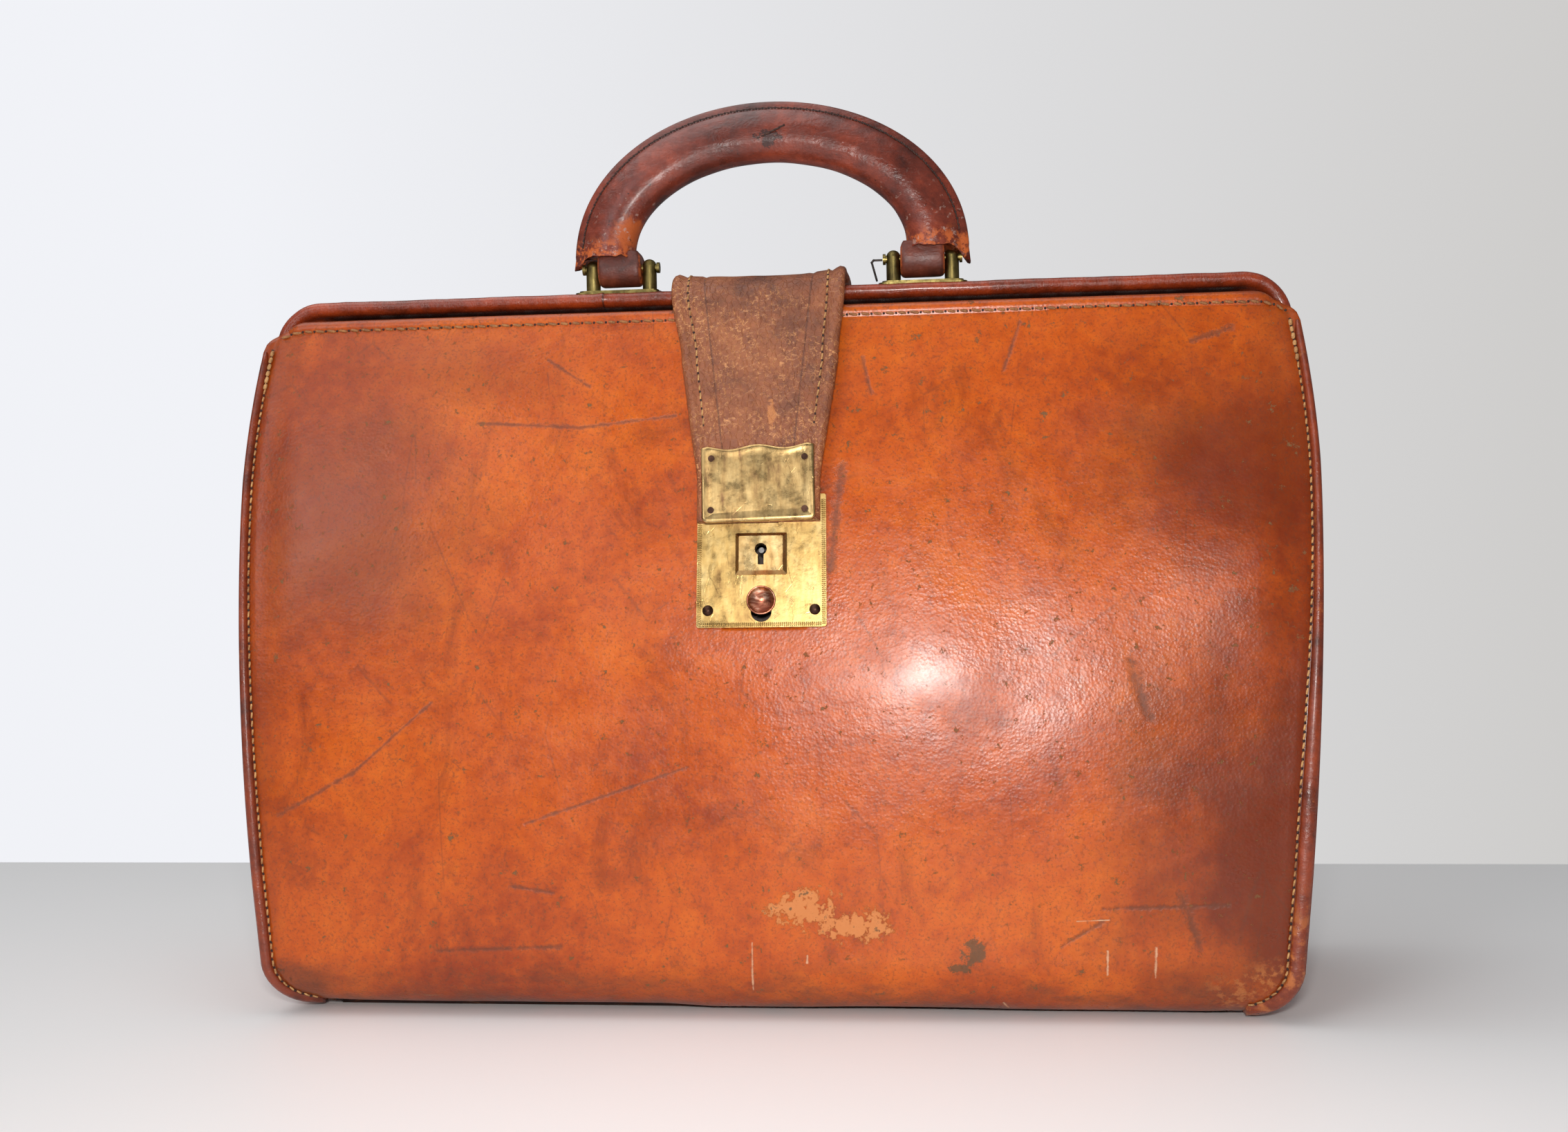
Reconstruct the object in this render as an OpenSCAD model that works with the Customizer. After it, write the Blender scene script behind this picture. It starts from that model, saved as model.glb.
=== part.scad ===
// Doctor bag: a leather case with a hinged front jaw, an arched handle, and a strap with a hasp and lock.
// X runs along the bag, Y from front to back, Z up. The origin is the centre of the base, on the table.

/* [Bag] */
// Overall width at the widest point, between the side seams
bag_w = 432; // [400:2:480]
// Depth near the bottom, from front leather to back leather
bag_d = 124; // [116:2:140]
// Height of the leather-covered rail above the table
rail_top = 291; // [285:1:300]
// How far the side seams draw in from the widest point down to the base
foot_in = 15; // [8:1:24]
// How far the side seams draw in from the widest point up to the rail
shoulder_in = 4; // [2:1:10]
// Thickness of the panel leather
leather = 3; // [2.4:0.1:3.2]

/* [Jaw] */
// Height of the pins that the two steel frames turn on
hinge_z = 218; // [212:1:222]
// Forward lean of the front jaw when it is closed
jaw_lean = 17.9; // [17.4:0.1:18.4]

/* [Lock] */
// Width of the lock plate
plate_w = 51; // [48:0.5:54]
// Height of the lock plate
plate_h = 53; // [52:0.5:54]
// Height of the middle of the lock plate above the table
lock_z = 177.5; // [176:0.5:179]
// How far the button slides down
button_travel = 4; // [3:0.1:4.2]

/* [Handle] */
// Half of the distance between the two handle mounts
chape_x = 64.5; // [62:0.5:67]
// Height of the middle of the grip above the pins
handle_rise = 55.5; // [50:0.5:60]
// Thickness of the grip in the plane of the arch
grip_tall = 24.6; // [22:0.2:25]
// Thickness of the grip from front to back
grip_deep = 18.6; // [16:0.2:18.8]

/* [Strap] */
// Half width of the strap where it crosses the rail
strap_top_half = 35.5; // [32:0.5:36]
// Half width of the strap at the hasp
strap_low_half = 24.2; // [24:0.2:26]

/* [Hidden] */
$fn = 64;

// Colours of the leathers and metals
tan_leather = "#c0622a";
dark_leather = "#7a3a1c";
handle_leather = "#6b2f22";
strap_leather = "#8f5a3c";
inner_cloth = "#8a7a60";
brass = "#b8923f";
old_brass = "#8f8145";
copper = "#a5573f";
steel = "#6e6e70";

// Outline of the bag seen from the front
foot_r = 24;
shoulder_r = 22;
belly_z = 215;
foot_span = 200;
shoulder_span = 63;
barrel_steps = 14;
shoulder_z = rail_top - shoulder_r;
seam_gap = 0.05;
wide = bag_w + 200;
tall = rail_top + 200;

function half_w(z) = bag_w / 2 - (z < belly_z
  ? foot_in * pow((belly_z - z) / foot_span, 1.35)
  : shoulder_in * pow((z - belly_z) / shoulder_span, 2));

foot_x = half_w(foot_r) - foot_r;
shoulder_x = half_w(shoulder_z) - shoulder_r;

// The right-hand half of the outline, moved inwards by i
function right_side(i) = concat(
  [for (a = [-90:15:0]) [foot_x + (foot_r - i) * cos(a), foot_r + (foot_r - i) * sin(a)]],
  [for (k = [1:barrel_steps - 1])
    let (z = foot_r + (shoulder_z - foot_r) * k / barrel_steps)
    [half_w(z) - i, z]],
  [for (a = [0:15:90]) [shoulder_x + (shoulder_r - i) * cos(a), shoulder_z + (shoulder_r - i) * sin(a)]]
);
function reversed(points) = [for (k = [len(points) - 1:-1:0]) points[k]];
function outline(i) = concat(right_side(i), reversed([for (p = right_side(i)) [-p[0], p[1]]]));

// Profile of the front and back leather seen from the side
keel_r = 22;
keel_gap = 2;
keel_z = keel_r + keel_gap;
keel_y = bag_d / 2 - keel_r;
lean_z = 50;
lean_in = 45;
panel_top = rail_top - 14;
profile_steps = 14;
split_z = 206;

// Distance from the middle plane to the outside of the leather at height z
function half_d(z) = bag_d / 2 - lean_in * pow(max(0, z - lean_z) / (rail_top - 5 - lean_z), 1.8);

// The profile of the back leather, moved outwards by o
function back_profile(o) = concat(
  [for (a = [-90:15:0]) [keel_y + (keel_r + o) * cos(a), keel_z + (keel_r + o) * sin(a)]],
  [for (k = [1:profile_steps])
    let (z = keel_z + (rail_top - 6 - keel_z) * k / profile_steps)
    [half_d(z) + o, z]]
);
function front_profile(o) = [for (p = back_profile(o)) [-p[0], p[1]]];

// Frames, rail and binding, as distances in from the outline
frame_y = 5;
rear_frame_in = [6, 8.2];
front_frame_in = [8.6, 10.8];
rear_frame_half = 6;
front_frame_half = 2.5;
eye_r = 5;
pin_r = 2;
rail_depth = 12;
rail_front = 13;
rail_back = 12;
rail_low_z = rail_top - 16.5;
rail_round = 5;
binding_in = [4.5, 12];
binding_half = 4.5;
binding_low_z = hinge_z + 40;
fit = 0.05;

// Lock, drawn in its own plane: x along the bag, y up the plate, z outwards
lock_x = -0.5;
lock_lean = atan((half_d(lock_z - plate_h / 2) - half_d(lock_z + plate_h / 2)) / plate_h);
lock_y = -half_d(lock_z) - 0.2;
plate_t = 1.8;
case_half = 16.5;
case_low = -25;
case_high = 25.5;
case_deep = 10.6;
case_wall = 1;
rivet_u = 21;
rivet_v = 19.7;
rivet_shank = 1.2;
key_v = 4.1;
key_r = 2.4;
key_slot_w = 2.3;
key_slot_low = -2.1;
boss_w = 20.3;
boss_h = 16.8;
boss_v = 2.5;
boss_t = 2.5;
bevel = 1.5;
button_v = -15.9;
button_r = 5.5;
button_dome = 4.2;
button_slot_r = 4.1;
button_slot_run = button_travel + 0.4;
button_slot_up = 2.3;
slider_low = -4.6;
slider_t = 1.6;
staple_v = 20;

// Strap
strap_x = -1.5;
strap_t = 4;
strap_bend_y = -10.5;
strap_bend_z = rail_top - 9.8;
strap_bend_r = 13.6;
strap_back_y = 13;
strap_drop = 17.2;
strap_back_drop = 12.5;
strap_anchor_z = 204;
anchor_z = strap_anchor_z + 8;
bend_in = strap_bend_r - strap_t / 2;
bend_out = strap_bend_r + strap_t / 2;
strap_end_t = 3.5;
hasp_low = 14.8;
hasp_high = 45.8;
hasp_left = -24;
hasp_w = 45;
hasp_t = 1.6;
end_back = 2.1;
end_mid = end_back + strap_end_t / 2;

// Handle and its mounts
pin_z = rail_top + 13;
post_gap = 12.25;
post_r = 3.05;
shank_r = 2;
handle_pin_r = 1.6;
loop_half = 8.8;
loop_r = 8;
arch_z = pin_z + 5.5;
arch_half = chape_x + 6;
core_r = 3;
arch_b = handle_rise - 5.5;

// A flat shape in X and Z, made solid between two depths
module across(y0, y1) {
  translate([0, y1, 0]) rotate([90, 0, 0]) linear_extrude(y1 - y0) children();
}

// A flat shape in Y and Z, made solid along the whole bag
module along(x0 = -wide / 2, x1 = wide / 2) {
  translate([x0, 0, 0]) rotate([90, 0, 90]) linear_extrude(x1 - x0) children();
}

module between(x0, x1, z0, z1) {
  translate([x0, -200, z0]) cube([x1 - x0, 400, z1 - z0]);
}

// The ring between two insets of the outline
module rim(i0, i1) {
  difference() {
    polygon(outline(i0));
    polygon(outline(i1));
  }
}

module front_sheet(o_in, o_out) {
  intersection() {
    across(-200, 0) polygon(outline(0));
    along() polygon(concat(front_profile(o_out), reversed(front_profile(o_in))));
  }
}

module back_sheet(o_in, o_out) {
  mirror([0, 1, 0]) front_sheet(o_in, o_out);
}

// The space inside the front and back leather
module inner_space(o) {
  along() polygon(concat(front_profile(o), reversed(back_profile(o))));
}

module on_lock() {
  translate([lock_x, lock_y, lock_z]) rotate([90 - lock_lean, 0, 0]) children();
}

module block(u0, u1, v0, v1, n0, n1) {
  translate([u0, v0, n0]) cube([u1 - u0, v1 - v0, n1 - n0]);
}

module at_lock_rivets(rows = [-rivet_v, rivet_v]) {
  for (u = [-rivet_u, rivet_u]) for (v = rows) translate([u, v, 0]) children();
}

module keyhole(n0, n1) {
  translate([0, key_v, n0]) cylinder(r = key_r, h = n1 - n0);
  block(-key_slot_w / 2, key_slot_w / 2, key_slot_low, key_v, n0, n1);
}

module rounded_slab(w, d, h, r) {
  linear_extrude(h) {
    square([w, d - 2 * r], center = true);
    square([w - 2 * r, d], center = true);
    for (x = [-1, 1]) for (y = [-1, 1]) translate([x * (w / 2 - r), y * (d / 2 - r)]) circle(r);
  }
}

// ---- Case ----

module base_board() {
  color(dark_leather) translate([-foot_x + 4, -keel_y + 1, 3.1]) cube([2 * foot_x - 8, 2 * keel_y - 2, 2.9]);
}

module base_leather() {
  color(dark_leather) translate([-foot_x + 1, -keel_y + seam_gap, 0]) cube([2 * foot_x - 2, 2 * (keel_y - seam_gap), 3]);
}

module front_panel() {
  color(tan_leather) difference() {
    intersection() {
      front_sheet(-leather, 0);
      between(-wide / 2, wide / 2, 0, split_z);
    }
    on_lock() block(-case_half - 0.7, case_half + 0.7, case_low - 1, case_high + 0.9, -20, 20);
    on_lock() at_lock_rivets() translate([0, 0, -20]) cylinder(r = rivet_shank + fit, h = 40);
  }
}

module back_panel() {
  color(tan_leather) difference() {
    intersection() {
      back_sheet(-leather, 0);
      between(-wide / 2, wide / 2, 0, panel_top);
    }
    at_anchors() cylinder(r = 1.5 + fit, h = 30, center = true);
  }
}

module gusset_side(z0, z1) {
  intersection() {
    across(-200, 200) rim(0, leather);
    inner_space(-leather - seam_gap);
    between(foot_x, wide / 2, z0, z1);
  }
}

module gusset_right() { color(tan_leather) gusset_side(0, hinge_z - 5); }
module gusset_left() { color(tan_leather) mirror([1, 0, 0]) gusset_side(0, hinge_z - 5); }
module gusset_top_right() { color(tan_leather) gusset_side(hinge_z - 4.8, rail_low_z - 0.5); }
module gusset_top_left() { color(tan_leather) mirror([1, 0, 0]) gusset_side(hinge_z - 4.8, rail_low_z - 0.5); }

// The welt covers the seam where a panel meets a gusset
module welt(z0, z1) {
  intersection() {
    front_sheet(seam_gap, 1.8);
    across(-200, 0) rim(0, 6);
    between(foot_x, wide / 2, z0, z1);
  }
}

module welt_front_right() { color(dark_leather) welt(6, split_z); }
module welt_front_left() { color(dark_leather) mirror([1, 0, 0]) welt(6, split_z); }
module welt_back_right() { color(dark_leather) mirror([0, 1, 0]) welt(6, panel_top); }
module welt_back_left() { color(dark_leather) mirror([1, 0, 0]) mirror([0, 1, 0]) welt(6, panel_top); }

module lining() {
  color(inner_cloth) difference() {
    intersection() {
      across(-200, 200) polygon(outline(leather + 0.2));
      inner_space(-leather - 0.3);
      between(-wide / 2, wide / 2, 6.2, split_z - 4);
    }
    intersection() {
      across(-200, 200) polygon(outline(leather + 1.2));
      inner_space(-leather - 1.3);
      between(-wide / 2, wide / 2, 7.2, split_z);
    }
    on_lock() block(-27, 27, -28, 60, -20, 20);
    at_anchors() cylinder(r = 4.2, h = 30, center = true);
  }
}

module frame_hoop(insets, half) {
  intersection() {
    across(frame_y - half, frame_y + half) rim(insets[0], insets[1]);
    between(-wide / 2, wide / 2, hinge_z, tall);
  }
}

module at_hinge(x) { translate([x, frame_y, hinge_z]) rotate([0, 90, 0]) children(); }

module frame_eyes(insets, r) {
  for (s = [-1, 1]) {
    x = half_w(hinge_z);
    low = s > 0 ? x - insets[1] : -x + insets[0];
    at_hinge(low) cylinder(r = r, h = insets[1] - insets[0]);
  }
}

module at_posts(side) {
  for (s = [-1, 1]) translate([side * chape_x + s * post_gap, frame_y, 0]) children();
}

module rear_frame() {
  color(steel) difference() {
    union() {
      frame_hoop(rear_frame_in, rear_frame_half);
      frame_eyes(rear_frame_in, rear_frame_half);
    }
    at_hinge(-wide / 2) cylinder(r = pin_r + 0.02, h = wide);
    for (side = [-1, 1]) at_posts(side) cylinder(r = shank_r + fit, h = tall);
  }
}

// Side view of the leather roll, with its upper edges rounded
module rail_section() {
  y0 = frame_y - rail_front;
  y1 = frame_y + rail_back;
  translate([y0, 0]) square([y1 - y0, rail_top - rail_round]);
  translate([y0 + rail_round, 0]) square([y1 - y0 - 2 * rail_round, rail_top]);
  for (y = [y0 + rail_round, y1 - rail_round]) translate([y, rail_top - rail_round]) circle(rail_round);
}

module rear_rail() {
  color(dark_leather) difference() {
    intersection() {
      across(frame_y - rail_front, frame_y + rail_back) rim(0, rail_depth);
      along() rail_section();
      between(-wide / 2, wide / 2, rail_low_z, tall);
    }
    across(frame_y - rear_frame_half - fit, frame_y + rear_frame_half + fit)
      rim(rear_frame_in[0] - fit, rear_frame_in[1] + fit);
    for (side = [-1, 1]) at_posts(side) cylinder(r = shank_r + fit, h = tall);
  }
}

module frame_hinge_pins() {
  x = half_w(hinge_z);
  outer = x - rear_frame_in[0];
  inner = x - front_frame_in[1];
  color(old_brass) for (s = [0, 1]) mirror([s, 0, 0]) {
    at_hinge(inner - 1) cylinder(r = pin_r, h = outer - inner + 2);
    at_hinge(outer + 0.1) cylinder(r = pin_r + 1.4, h = 0.9);
    at_hinge(inner - 1) cylinder(r = pin_r + 1.4, h = 0.7);
  }
}

// Stitched leather ends that stand up behind the rail at both corners
module corner_tabs() {
  x = half_w(shoulder_z) - 18;
  color(dark_leather) for (s = [-1, 1])
    translate([s * x - 4.5, frame_y + rail_back + 0.2, panel_top + 0.3]) cube([9, 2.4, rail_top - panel_top - 2]);
}

// ---- Lock ----

module lock_plate() {
  color(brass) on_lock() difference() {
    rounded_slab(plate_w, plate_h, plate_t, 1);
    keyhole(-1, 9);
    block(-6.8, 6.8, staple_v - 5, staple_v + 5, -1, 9);
    translate([0, button_v - button_slot_run, -1]) cylinder(r = button_slot_r, h = 9);
    block(-button_slot_r, button_slot_r, button_v - button_slot_run, button_v + button_slot_up, -1, 9);
    at_lock_rivets() translate([0, 0, -1]) cylinder(r = rivet_shank + fit, h = 9);
  }
}

module keyhole_boss() {
  color(brass) on_lock() difference() {
    translate([0, boss_v, plate_t]) hull() {
      rounded_slab(boss_w, boss_h, 0.8, 0.6);
      rounded_slab(boss_w - 2 * bevel, boss_h - 2 * bevel, boss_t, 0.4);
    }
    keyhole(0, 9);
  }
}

module key_post() {
  color(steel) on_lock() translate([0, key_v, case_wall - case_deep + 0.02])
    cylinder(r = 1.1, h = case_deep - case_wall + 1.6);
}

module lock_case() {
  color(steel) on_lock() {
    difference() {
      block(-case_half, case_half, case_low, case_high, -case_deep, -0.05);
      block(-case_half + case_wall, case_half - case_wall, case_low + case_wall, case_high - case_wall,
        case_wall - case_deep, 1);
    }
    // Lug that the slider's spring stands on
    block(12.6, case_half - case_wall / 2, -1.6, 0.1, -5.2, -2.4);
  }
}

// The upper two rivets are flush with the plate, where the hasp lies over them
module lock_rivets() {
  color(old_brass) on_lock() at_lock_rivets() translate([0, 0, -5.2]) cylinder(r = rivet_shank, h = 5.2 + plate_t);
  color(old_brass) on_lock() at_lock_rivets([-rivet_v]) {
    translate([0, 0, plate_t - 0.1]) cylinder(r = rivet_shank, h = 0.6);
    intersection() {
      translate([0, 0, plate_t - 1]) sphere(2.4);
      translate([-3, -3, plate_t + 0.02]) cube([6, 6, 3]);
    }
  }
}

module lock_backing_plate() {
  color(steel) on_lock() difference() {
    block(-25, 25, -26, 27, -5.4, -4.4);
    block(-case_half - 0.1, case_half + 0.1, case_low - 0.1, case_high + 0.1, -9, 0);
    at_lock_rivets() translate([0, 0, -9]) cylinder(r = rivet_shank + fit, h = 9);
  }
}

module slider_spring() {
  color(steel) on_lock() translate([13.75, 0.2, slider_low + slider_t / 2]) rotate([-90, 0, 0])
    cylinder(r = 1.2, h = 11.7);
}

module lock_button() {
  dome_r = (button_r * button_r + button_dome * button_dome) / (2 * button_dome);
  base = plate_t + 0.25;
  color(copper) on_lock() translate([0, button_v, 0]) intersection() {
    translate([0, 0, base + button_dome - dome_r]) sphere(dome_r);
    translate([-10, -10, base]) cube([20, 20, 20]);
  }
}

module lock_slider() {
  color(brass) on_lock() {
    difference() {
      union() {
        block(-12.3, 12.3, button_v - 3.6, 16.2, slider_low, slider_low + slider_t);
        block(12, 15.1, 12, 13.6, slider_low, slider_low + slider_t);
      }
      block(-8.3, 8.3, -7.8, 12.6, -9, 9);
      block(-11.5, -8, -7.6, -3.2, -9, 9);
    }
    translate([0, button_v, slider_low + slider_t - 0.1]) cylinder(r = 2, h = plate_t - slider_low - slider_t + 0.33);
  }
}

// Sprung nose that rises through the staple's eye
module catch_spring() {
  color(steel) on_lock() {
    block(-2.4, 2.4, 13, 16.3, slider_low - 0.5, slider_low - 0.02);
    block(-2.4, 2.4, 16.22, staple_v + 1.5, slider_low - 0.5, slider_low + 1.2);
  }
}

// Bolt that the key slides under the slider's rail to lock the button
module key_bolt() {
  color(steel) on_lock() difference() {
    union() {
      block(-8, 7.6, -7.3, -3.5, slider_low + 0.1, slider_low + slider_t - 0.1);
      block(-3, 3, -7.3, -5.2, case_wall - case_deep + 0.2, slider_low + 0.2);
    }
    block(-1.6, 1.6, -4.8, 0, -9, 9);
  }
}

// ---- Handle mounts ----

module chape_plate(side) {
  color(old_brass) difference() {
    translate([side * chape_x, frame_y, rail_top + 0.05]) {
      rounded_slab(37, 20, 1.7, 3);
      rounded_slab(34, 17, 2.6, 2.5);
    }
    at_posts(side) translate([0, 0, rail_top - 1]) cylinder(r = shank_r + fit, h = 9);
  }
}

module chape_plate_left() { chape_plate(-1); }
module chape_plate_right() { chape_plate(1); }

module chape_posts(side) {
  color(old_brass) difference() {
    at_posts(side) {
      translate([0, 0, rail_top - rail_depth - 3]) cylinder(r = shank_r, h = rail_depth + 7);
      translate([0, 0, rail_top + 2.7]) cylinder(r = post_r, h = pin_z - rail_top - 2);
      translate([0, 0, pin_z + 0.7]) sphere(post_r);
    }
    translate([side * chape_x - 20, frame_y, pin_z]) rotate([0, 90, 0]) cylinder(r = handle_pin_r + 0.02, h = 40);
  }
}

module chape_posts_left() { chape_posts(-1); }
module chape_posts_right() { chape_posts(1); }

module chape_nuts() {
  color(steel) for (side = [-1, 1]) at_posts(side) translate([0, 0, rail_top - rail_depth - 2.3]) difference() {
    cylinder(r = 4, h = 2.2, $fn = 6);
    translate([0, 0, -1]) cylinder(r = shank_r + fit, h = 5);
  }
}

module handle_pin(side) {
  reach = post_gap + post_r + 0.2;
  color(old_brass) translate([side * chape_x, frame_y, pin_z]) rotate([0, 90, 0]) {
    cylinder(r = handle_pin_r, h = 2 * reach, center = true);
    for (s = [-1, 1]) translate([0, 0, s * (reach + 0.6)]) cylinder(r = 2.3, h = 1.2, center = true);
  }
}

module handle_pin_left() { handle_pin(-1); }
module handle_pin_right() { handle_pin(1); }

// Wire that somebody hooked round the end of the right-hand pin
module bent_wire() {
  wire_r = 0.45;
  points = [[-16.9, -0.2], [-20.6, -0.2], [-21.4, -1.1], [-19.3, -9.1]];
  color(steel) translate([chape_x, frame_y, pin_z]) {
    for (k = [0:len(points) - 2]) {
      step = points[k + 1] - points[k];
      translate([points[k][0], 0, points[k][1]]) rotate([0, 90 - atan2(step[1], step[0]), 0])
        cylinder(r = wire_r, h = norm(step));
    }
    for (k = [1:len(points) - 2]) translate([points[k][0], 0, points[k][1]]) sphere(wire_r + 0.1);
  }
}

// ---- Strap ----

// The strap's outline seen from the front, tapering to the hasp
module strap_outline() {
  translate([strap_x, 0]) polygon([
    [-strap_low_half, 0], [strap_low_half, 0], [strap_low_half, 212],
    [strap_top_half - 4, 258], [strap_top_half, 286], [strap_top_half, tall],
    [-strap_top_half, tall], [-strap_top_half, 286], [-strap_top_half + 4, 258], [-strap_low_half, 212]
  ]);
}

// Points of a bend of radius r round (y, z), between two angles above the horizontal
function bend(y, z, r, a0, a1) = [
  for (k = [0:8]) let (a = a0 + (a1 - a0) * k / 8) [y + r * cos(a), z + r * sin(a)]
];

function lock_to_y(v, n) = lock_y + v * sin(lock_lean) - n * cos(lock_lean);
function lock_to_z(v, n) = lock_z + v * cos(lock_lean) + n * sin(lock_lean);

module strap_front() {
  low_y = lock_to_y(hasp_high + 0.4, end_mid);
  low_z = lock_to_z(hasp_high + 0.4, end_mid);
  outer = bend(strap_bend_y, strap_bend_z, bend_out, 90.3, 180 - strap_drop);
  inner = bend(strap_bend_y, strap_bend_z, bend_in, 90.3, 180 - strap_drop);
  color(strap_leather) intersection() {
    across(-200, 0) strap_outline();
    along(-60, 60) polygon(concat(
      outer, [[low_y - strap_end_t / 2, low_z], [low_y + strap_end_t / 2, low_z]], reversed(inner)));
  }
}

module strap_back() {
  low_y = half_d(strap_anchor_z) + 0.6;
  outer = bend(strap_back_y, strap_bend_z, bend_out, 90, strap_back_drop);
  inner = bend(strap_back_y, strap_bend_z, bend_in, 90, strap_back_drop);
  color(strap_leather) difference() {
    intersection() {
      across(-200, 200) strap_outline();
      along(-60, 60) polygon(concat(
        [[strap_bend_y, strap_bend_z + bend_in], [strap_bend_y, strap_bend_z + bend_out]], outer,
        [[low_y + strap_t, strap_anchor_z], [low_y, strap_anchor_z]], reversed(inner)));
    }
    at_anchors() cylinder(r = 1.5 + fit, h = 30, center = true);
  }
}

module at_anchors() {
  for (x = [-12, 12]) translate([strap_x + x, half_d(anchor_z), anchor_z]) rotate([-90, 0, 0]) children();
}

module strap_anchor_rivets() {
  color(old_brass) at_anchors() {
    translate([0, 0, -5.2]) cylinder(r = 1.5, h = 11.2);
    translate([0, 0, 5.7]) cylinder(r = 3.5, h = 1.1);
    translate([0, 0, -5.6]) cylinder(r = 3.5, h = 0.8);
  }
}

module at_hasp_rivets() {
  for (u = [4, hasp_w - 4]) for (v = [4.5, 25.5]) translate([hasp_left + u - lock_x, hasp_low + v, 0]) children();
}

module strap_end() {
  color(strap_leather) on_lock() difference() {
    block(strap_x - lock_x - strap_low_half, strap_x - lock_x + strap_low_half, hasp_low + 0.3, hasp_high,
      end_back, end_back + strap_end_t);
    block(-6.3, 6.3, staple_v - 2.3, staple_v + 2.3, 0, 9);
    at_hasp_rivets() cylinder(r = 1.05, h = 9);
  }
}

// Plate with two shallow dips in its upper edge
module hasp_plate() {
  n0 = end_back + strap_end_t + 0.02;
  color(brass) on_lock() difference() {
    translate([hasp_left - lock_x, hasp_low, n0]) linear_extrude(hasp_t) polygon(concat(
      [[0, 0.8], [0.8, 0], [hasp_w - 0.8, 0], [hasp_w, 0.8]],
      [for (k = [24:-1:0]) [hasp_w * k / 24, hasp_high - hasp_low - 0.8 * (1 - cos(720 * k / 24))]]
    ));
    at_hasp_rivets() cylinder(r = 1.05, h = 20);
  }
}

module hasp_rivets() {
  n1 = end_back + strap_end_t + hasp_t;
  color(steel) on_lock() at_hasp_rivets() {
    translate([0, 0, end_back + 0.05]) cylinder(r = 1, h = n1 - end_back);
    translate([0, 0, n1 + 0.04]) cylinder(r = 1.3, h = 0.3);
  }
}

module hasp_staple() {
  color(brass) on_lock() difference() {
    block(-6, 6, staple_v - 2, staple_v + 2, -6.8, end_back + strap_end_t);
    block(-3.2, 3.2, staple_v - 5, staple_v + 5, -5.7, -1.9);
  }
}

// ---- Front jaw ----

module lean_forward() {
  translate([0, frame_y, hinge_z]) rotate([jaw_lean, 0, 0]) translate([0, -frame_y, -hinge_z]) children();
}

module front_frame() {
  color(steel) lean_forward() difference() {
    union() {
      frame_hoop(front_frame_in, front_frame_half);
      frame_eyes(front_frame_in, eye_r);
    }
    at_hinge(-wide / 2) cylinder(r = pin_r + fit, h = wide);
  }
}

module front_binding() {
  color(tan_leather) lean_forward() difference() {
    intersection() {
      across(frame_y - binding_half, frame_y + binding_half) rim(binding_in[0], binding_in[1]);
      between(-wide / 2, wide / 2, binding_low_z, tall);
    }
    across(frame_y - front_frame_half - fit, frame_y + front_frame_half + fit)
      rim(front_frame_in[0] - fit, front_frame_in[1] + fit);
  }
}

module front_panel_top() {
  color(tan_leather) intersection() {
    front_sheet(-leather, 0);
    between(-wide / 2, wide / 2, split_z + 0.4, panel_top - 2.8);
  }
}

module welt_front_top() {
  color(dark_leather) for (s = [0, 1]) mirror([s, 0, 0]) welt(split_z + 0.4, panel_top - 2.8);
}

// ---- Handle ----

// A solid swept over the half-oval arch, a across the arch's plane and b from front to back
module arch(a, b, rings, sides) {
  points = [
    for (k = [0:rings]) let (
      t = 180 * k / rings,
      middle = [arch_half * cos(t), arch_b * sin(t)],
      way = [arch_b * cos(t), arch_half * sin(t)],
      out = way / norm(way)
    )
    for (j = [0:sides - 1]) let (q = 360 * j / sides)
    [middle[0] + out[0] * a * cos(q), b * sin(q), middle[1] + out[1] * a * cos(q)]
  ];
  skin = [
    for (k = [0:rings - 1]) for (j = [0:sides - 1]) let (n = (j + 1) % sides)
    [k * sides + j, k * sides + n, (k + 1) * sides + n, (k + 1) * sides + j]
  ];
  first = [for (j = [sides - 1:-1:0]) j];
  last = [for (j = [0:sides - 1]) rings * sides + j];
  translate([0, frame_y, arch_z]) polyhedron(points, concat(skin, [first, last]));
}

module handle_grip() {
  color(handle_leather) arch(grip_tall / 2, grip_deep / 2, 36, 16);
}

module handle_core() {
  color(steel) arch(core_r, core_r, 24, 8);
}

module handle_loop(side) {
  color(handle_leather) difference() {
    translate([side * chape_x, frame_y, pin_z]) {
      rotate([0, 90, 0]) cylinder(r = loop_r, h = 2 * loop_half, center = true);
      translate([-loop_half, -7, 0]) cube([2 * loop_half, 14, arch_z - pin_z - 0.05]);
    }
    translate([side * chape_x - 20, frame_y, pin_z]) rotate([0, 90, 0]) cylinder(r = handle_pin_r + fit, h = 40);
    translate([side * chape_x - 20, frame_y - 20, arch_z - 0.05]) cube([40, 40, 20]);
  }
}

module handle_loop_left() { handle_loop(-1); }
module handle_loop_right() { handle_loop(1); }

base_board();
base_leather();
front_panel();
back_panel();
gusset_left();
gusset_right();
gusset_top_left();
gusset_top_right();
welt_front_left();
welt_front_right();
welt_back_left();
welt_back_right();
welt_front_top();
lining();
rear_frame();
rear_rail();
frame_hinge_pins();
corner_tabs();
lock_plate();
keyhole_boss();
key_post();
lock_case();
lock_rivets();
lock_backing_plate();
slider_spring();
lock_button();
lock_slider();
catch_spring();
key_bolt();
chape_plate_left();
chape_plate_right();
chape_posts_left();
chape_posts_right();
chape_nuts();
handle_pin_left();
handle_pin_right();
bent_wire();
strap_back();
strap_anchor_rivets();
front_frame();
front_binding();
front_panel_top();
handle_grip();
handle_core();
handle_loop_left();
handle_loop_right();
strap_front();
strap_end();
hasp_plate();
hasp_rivets();
hasp_staple();
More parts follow.
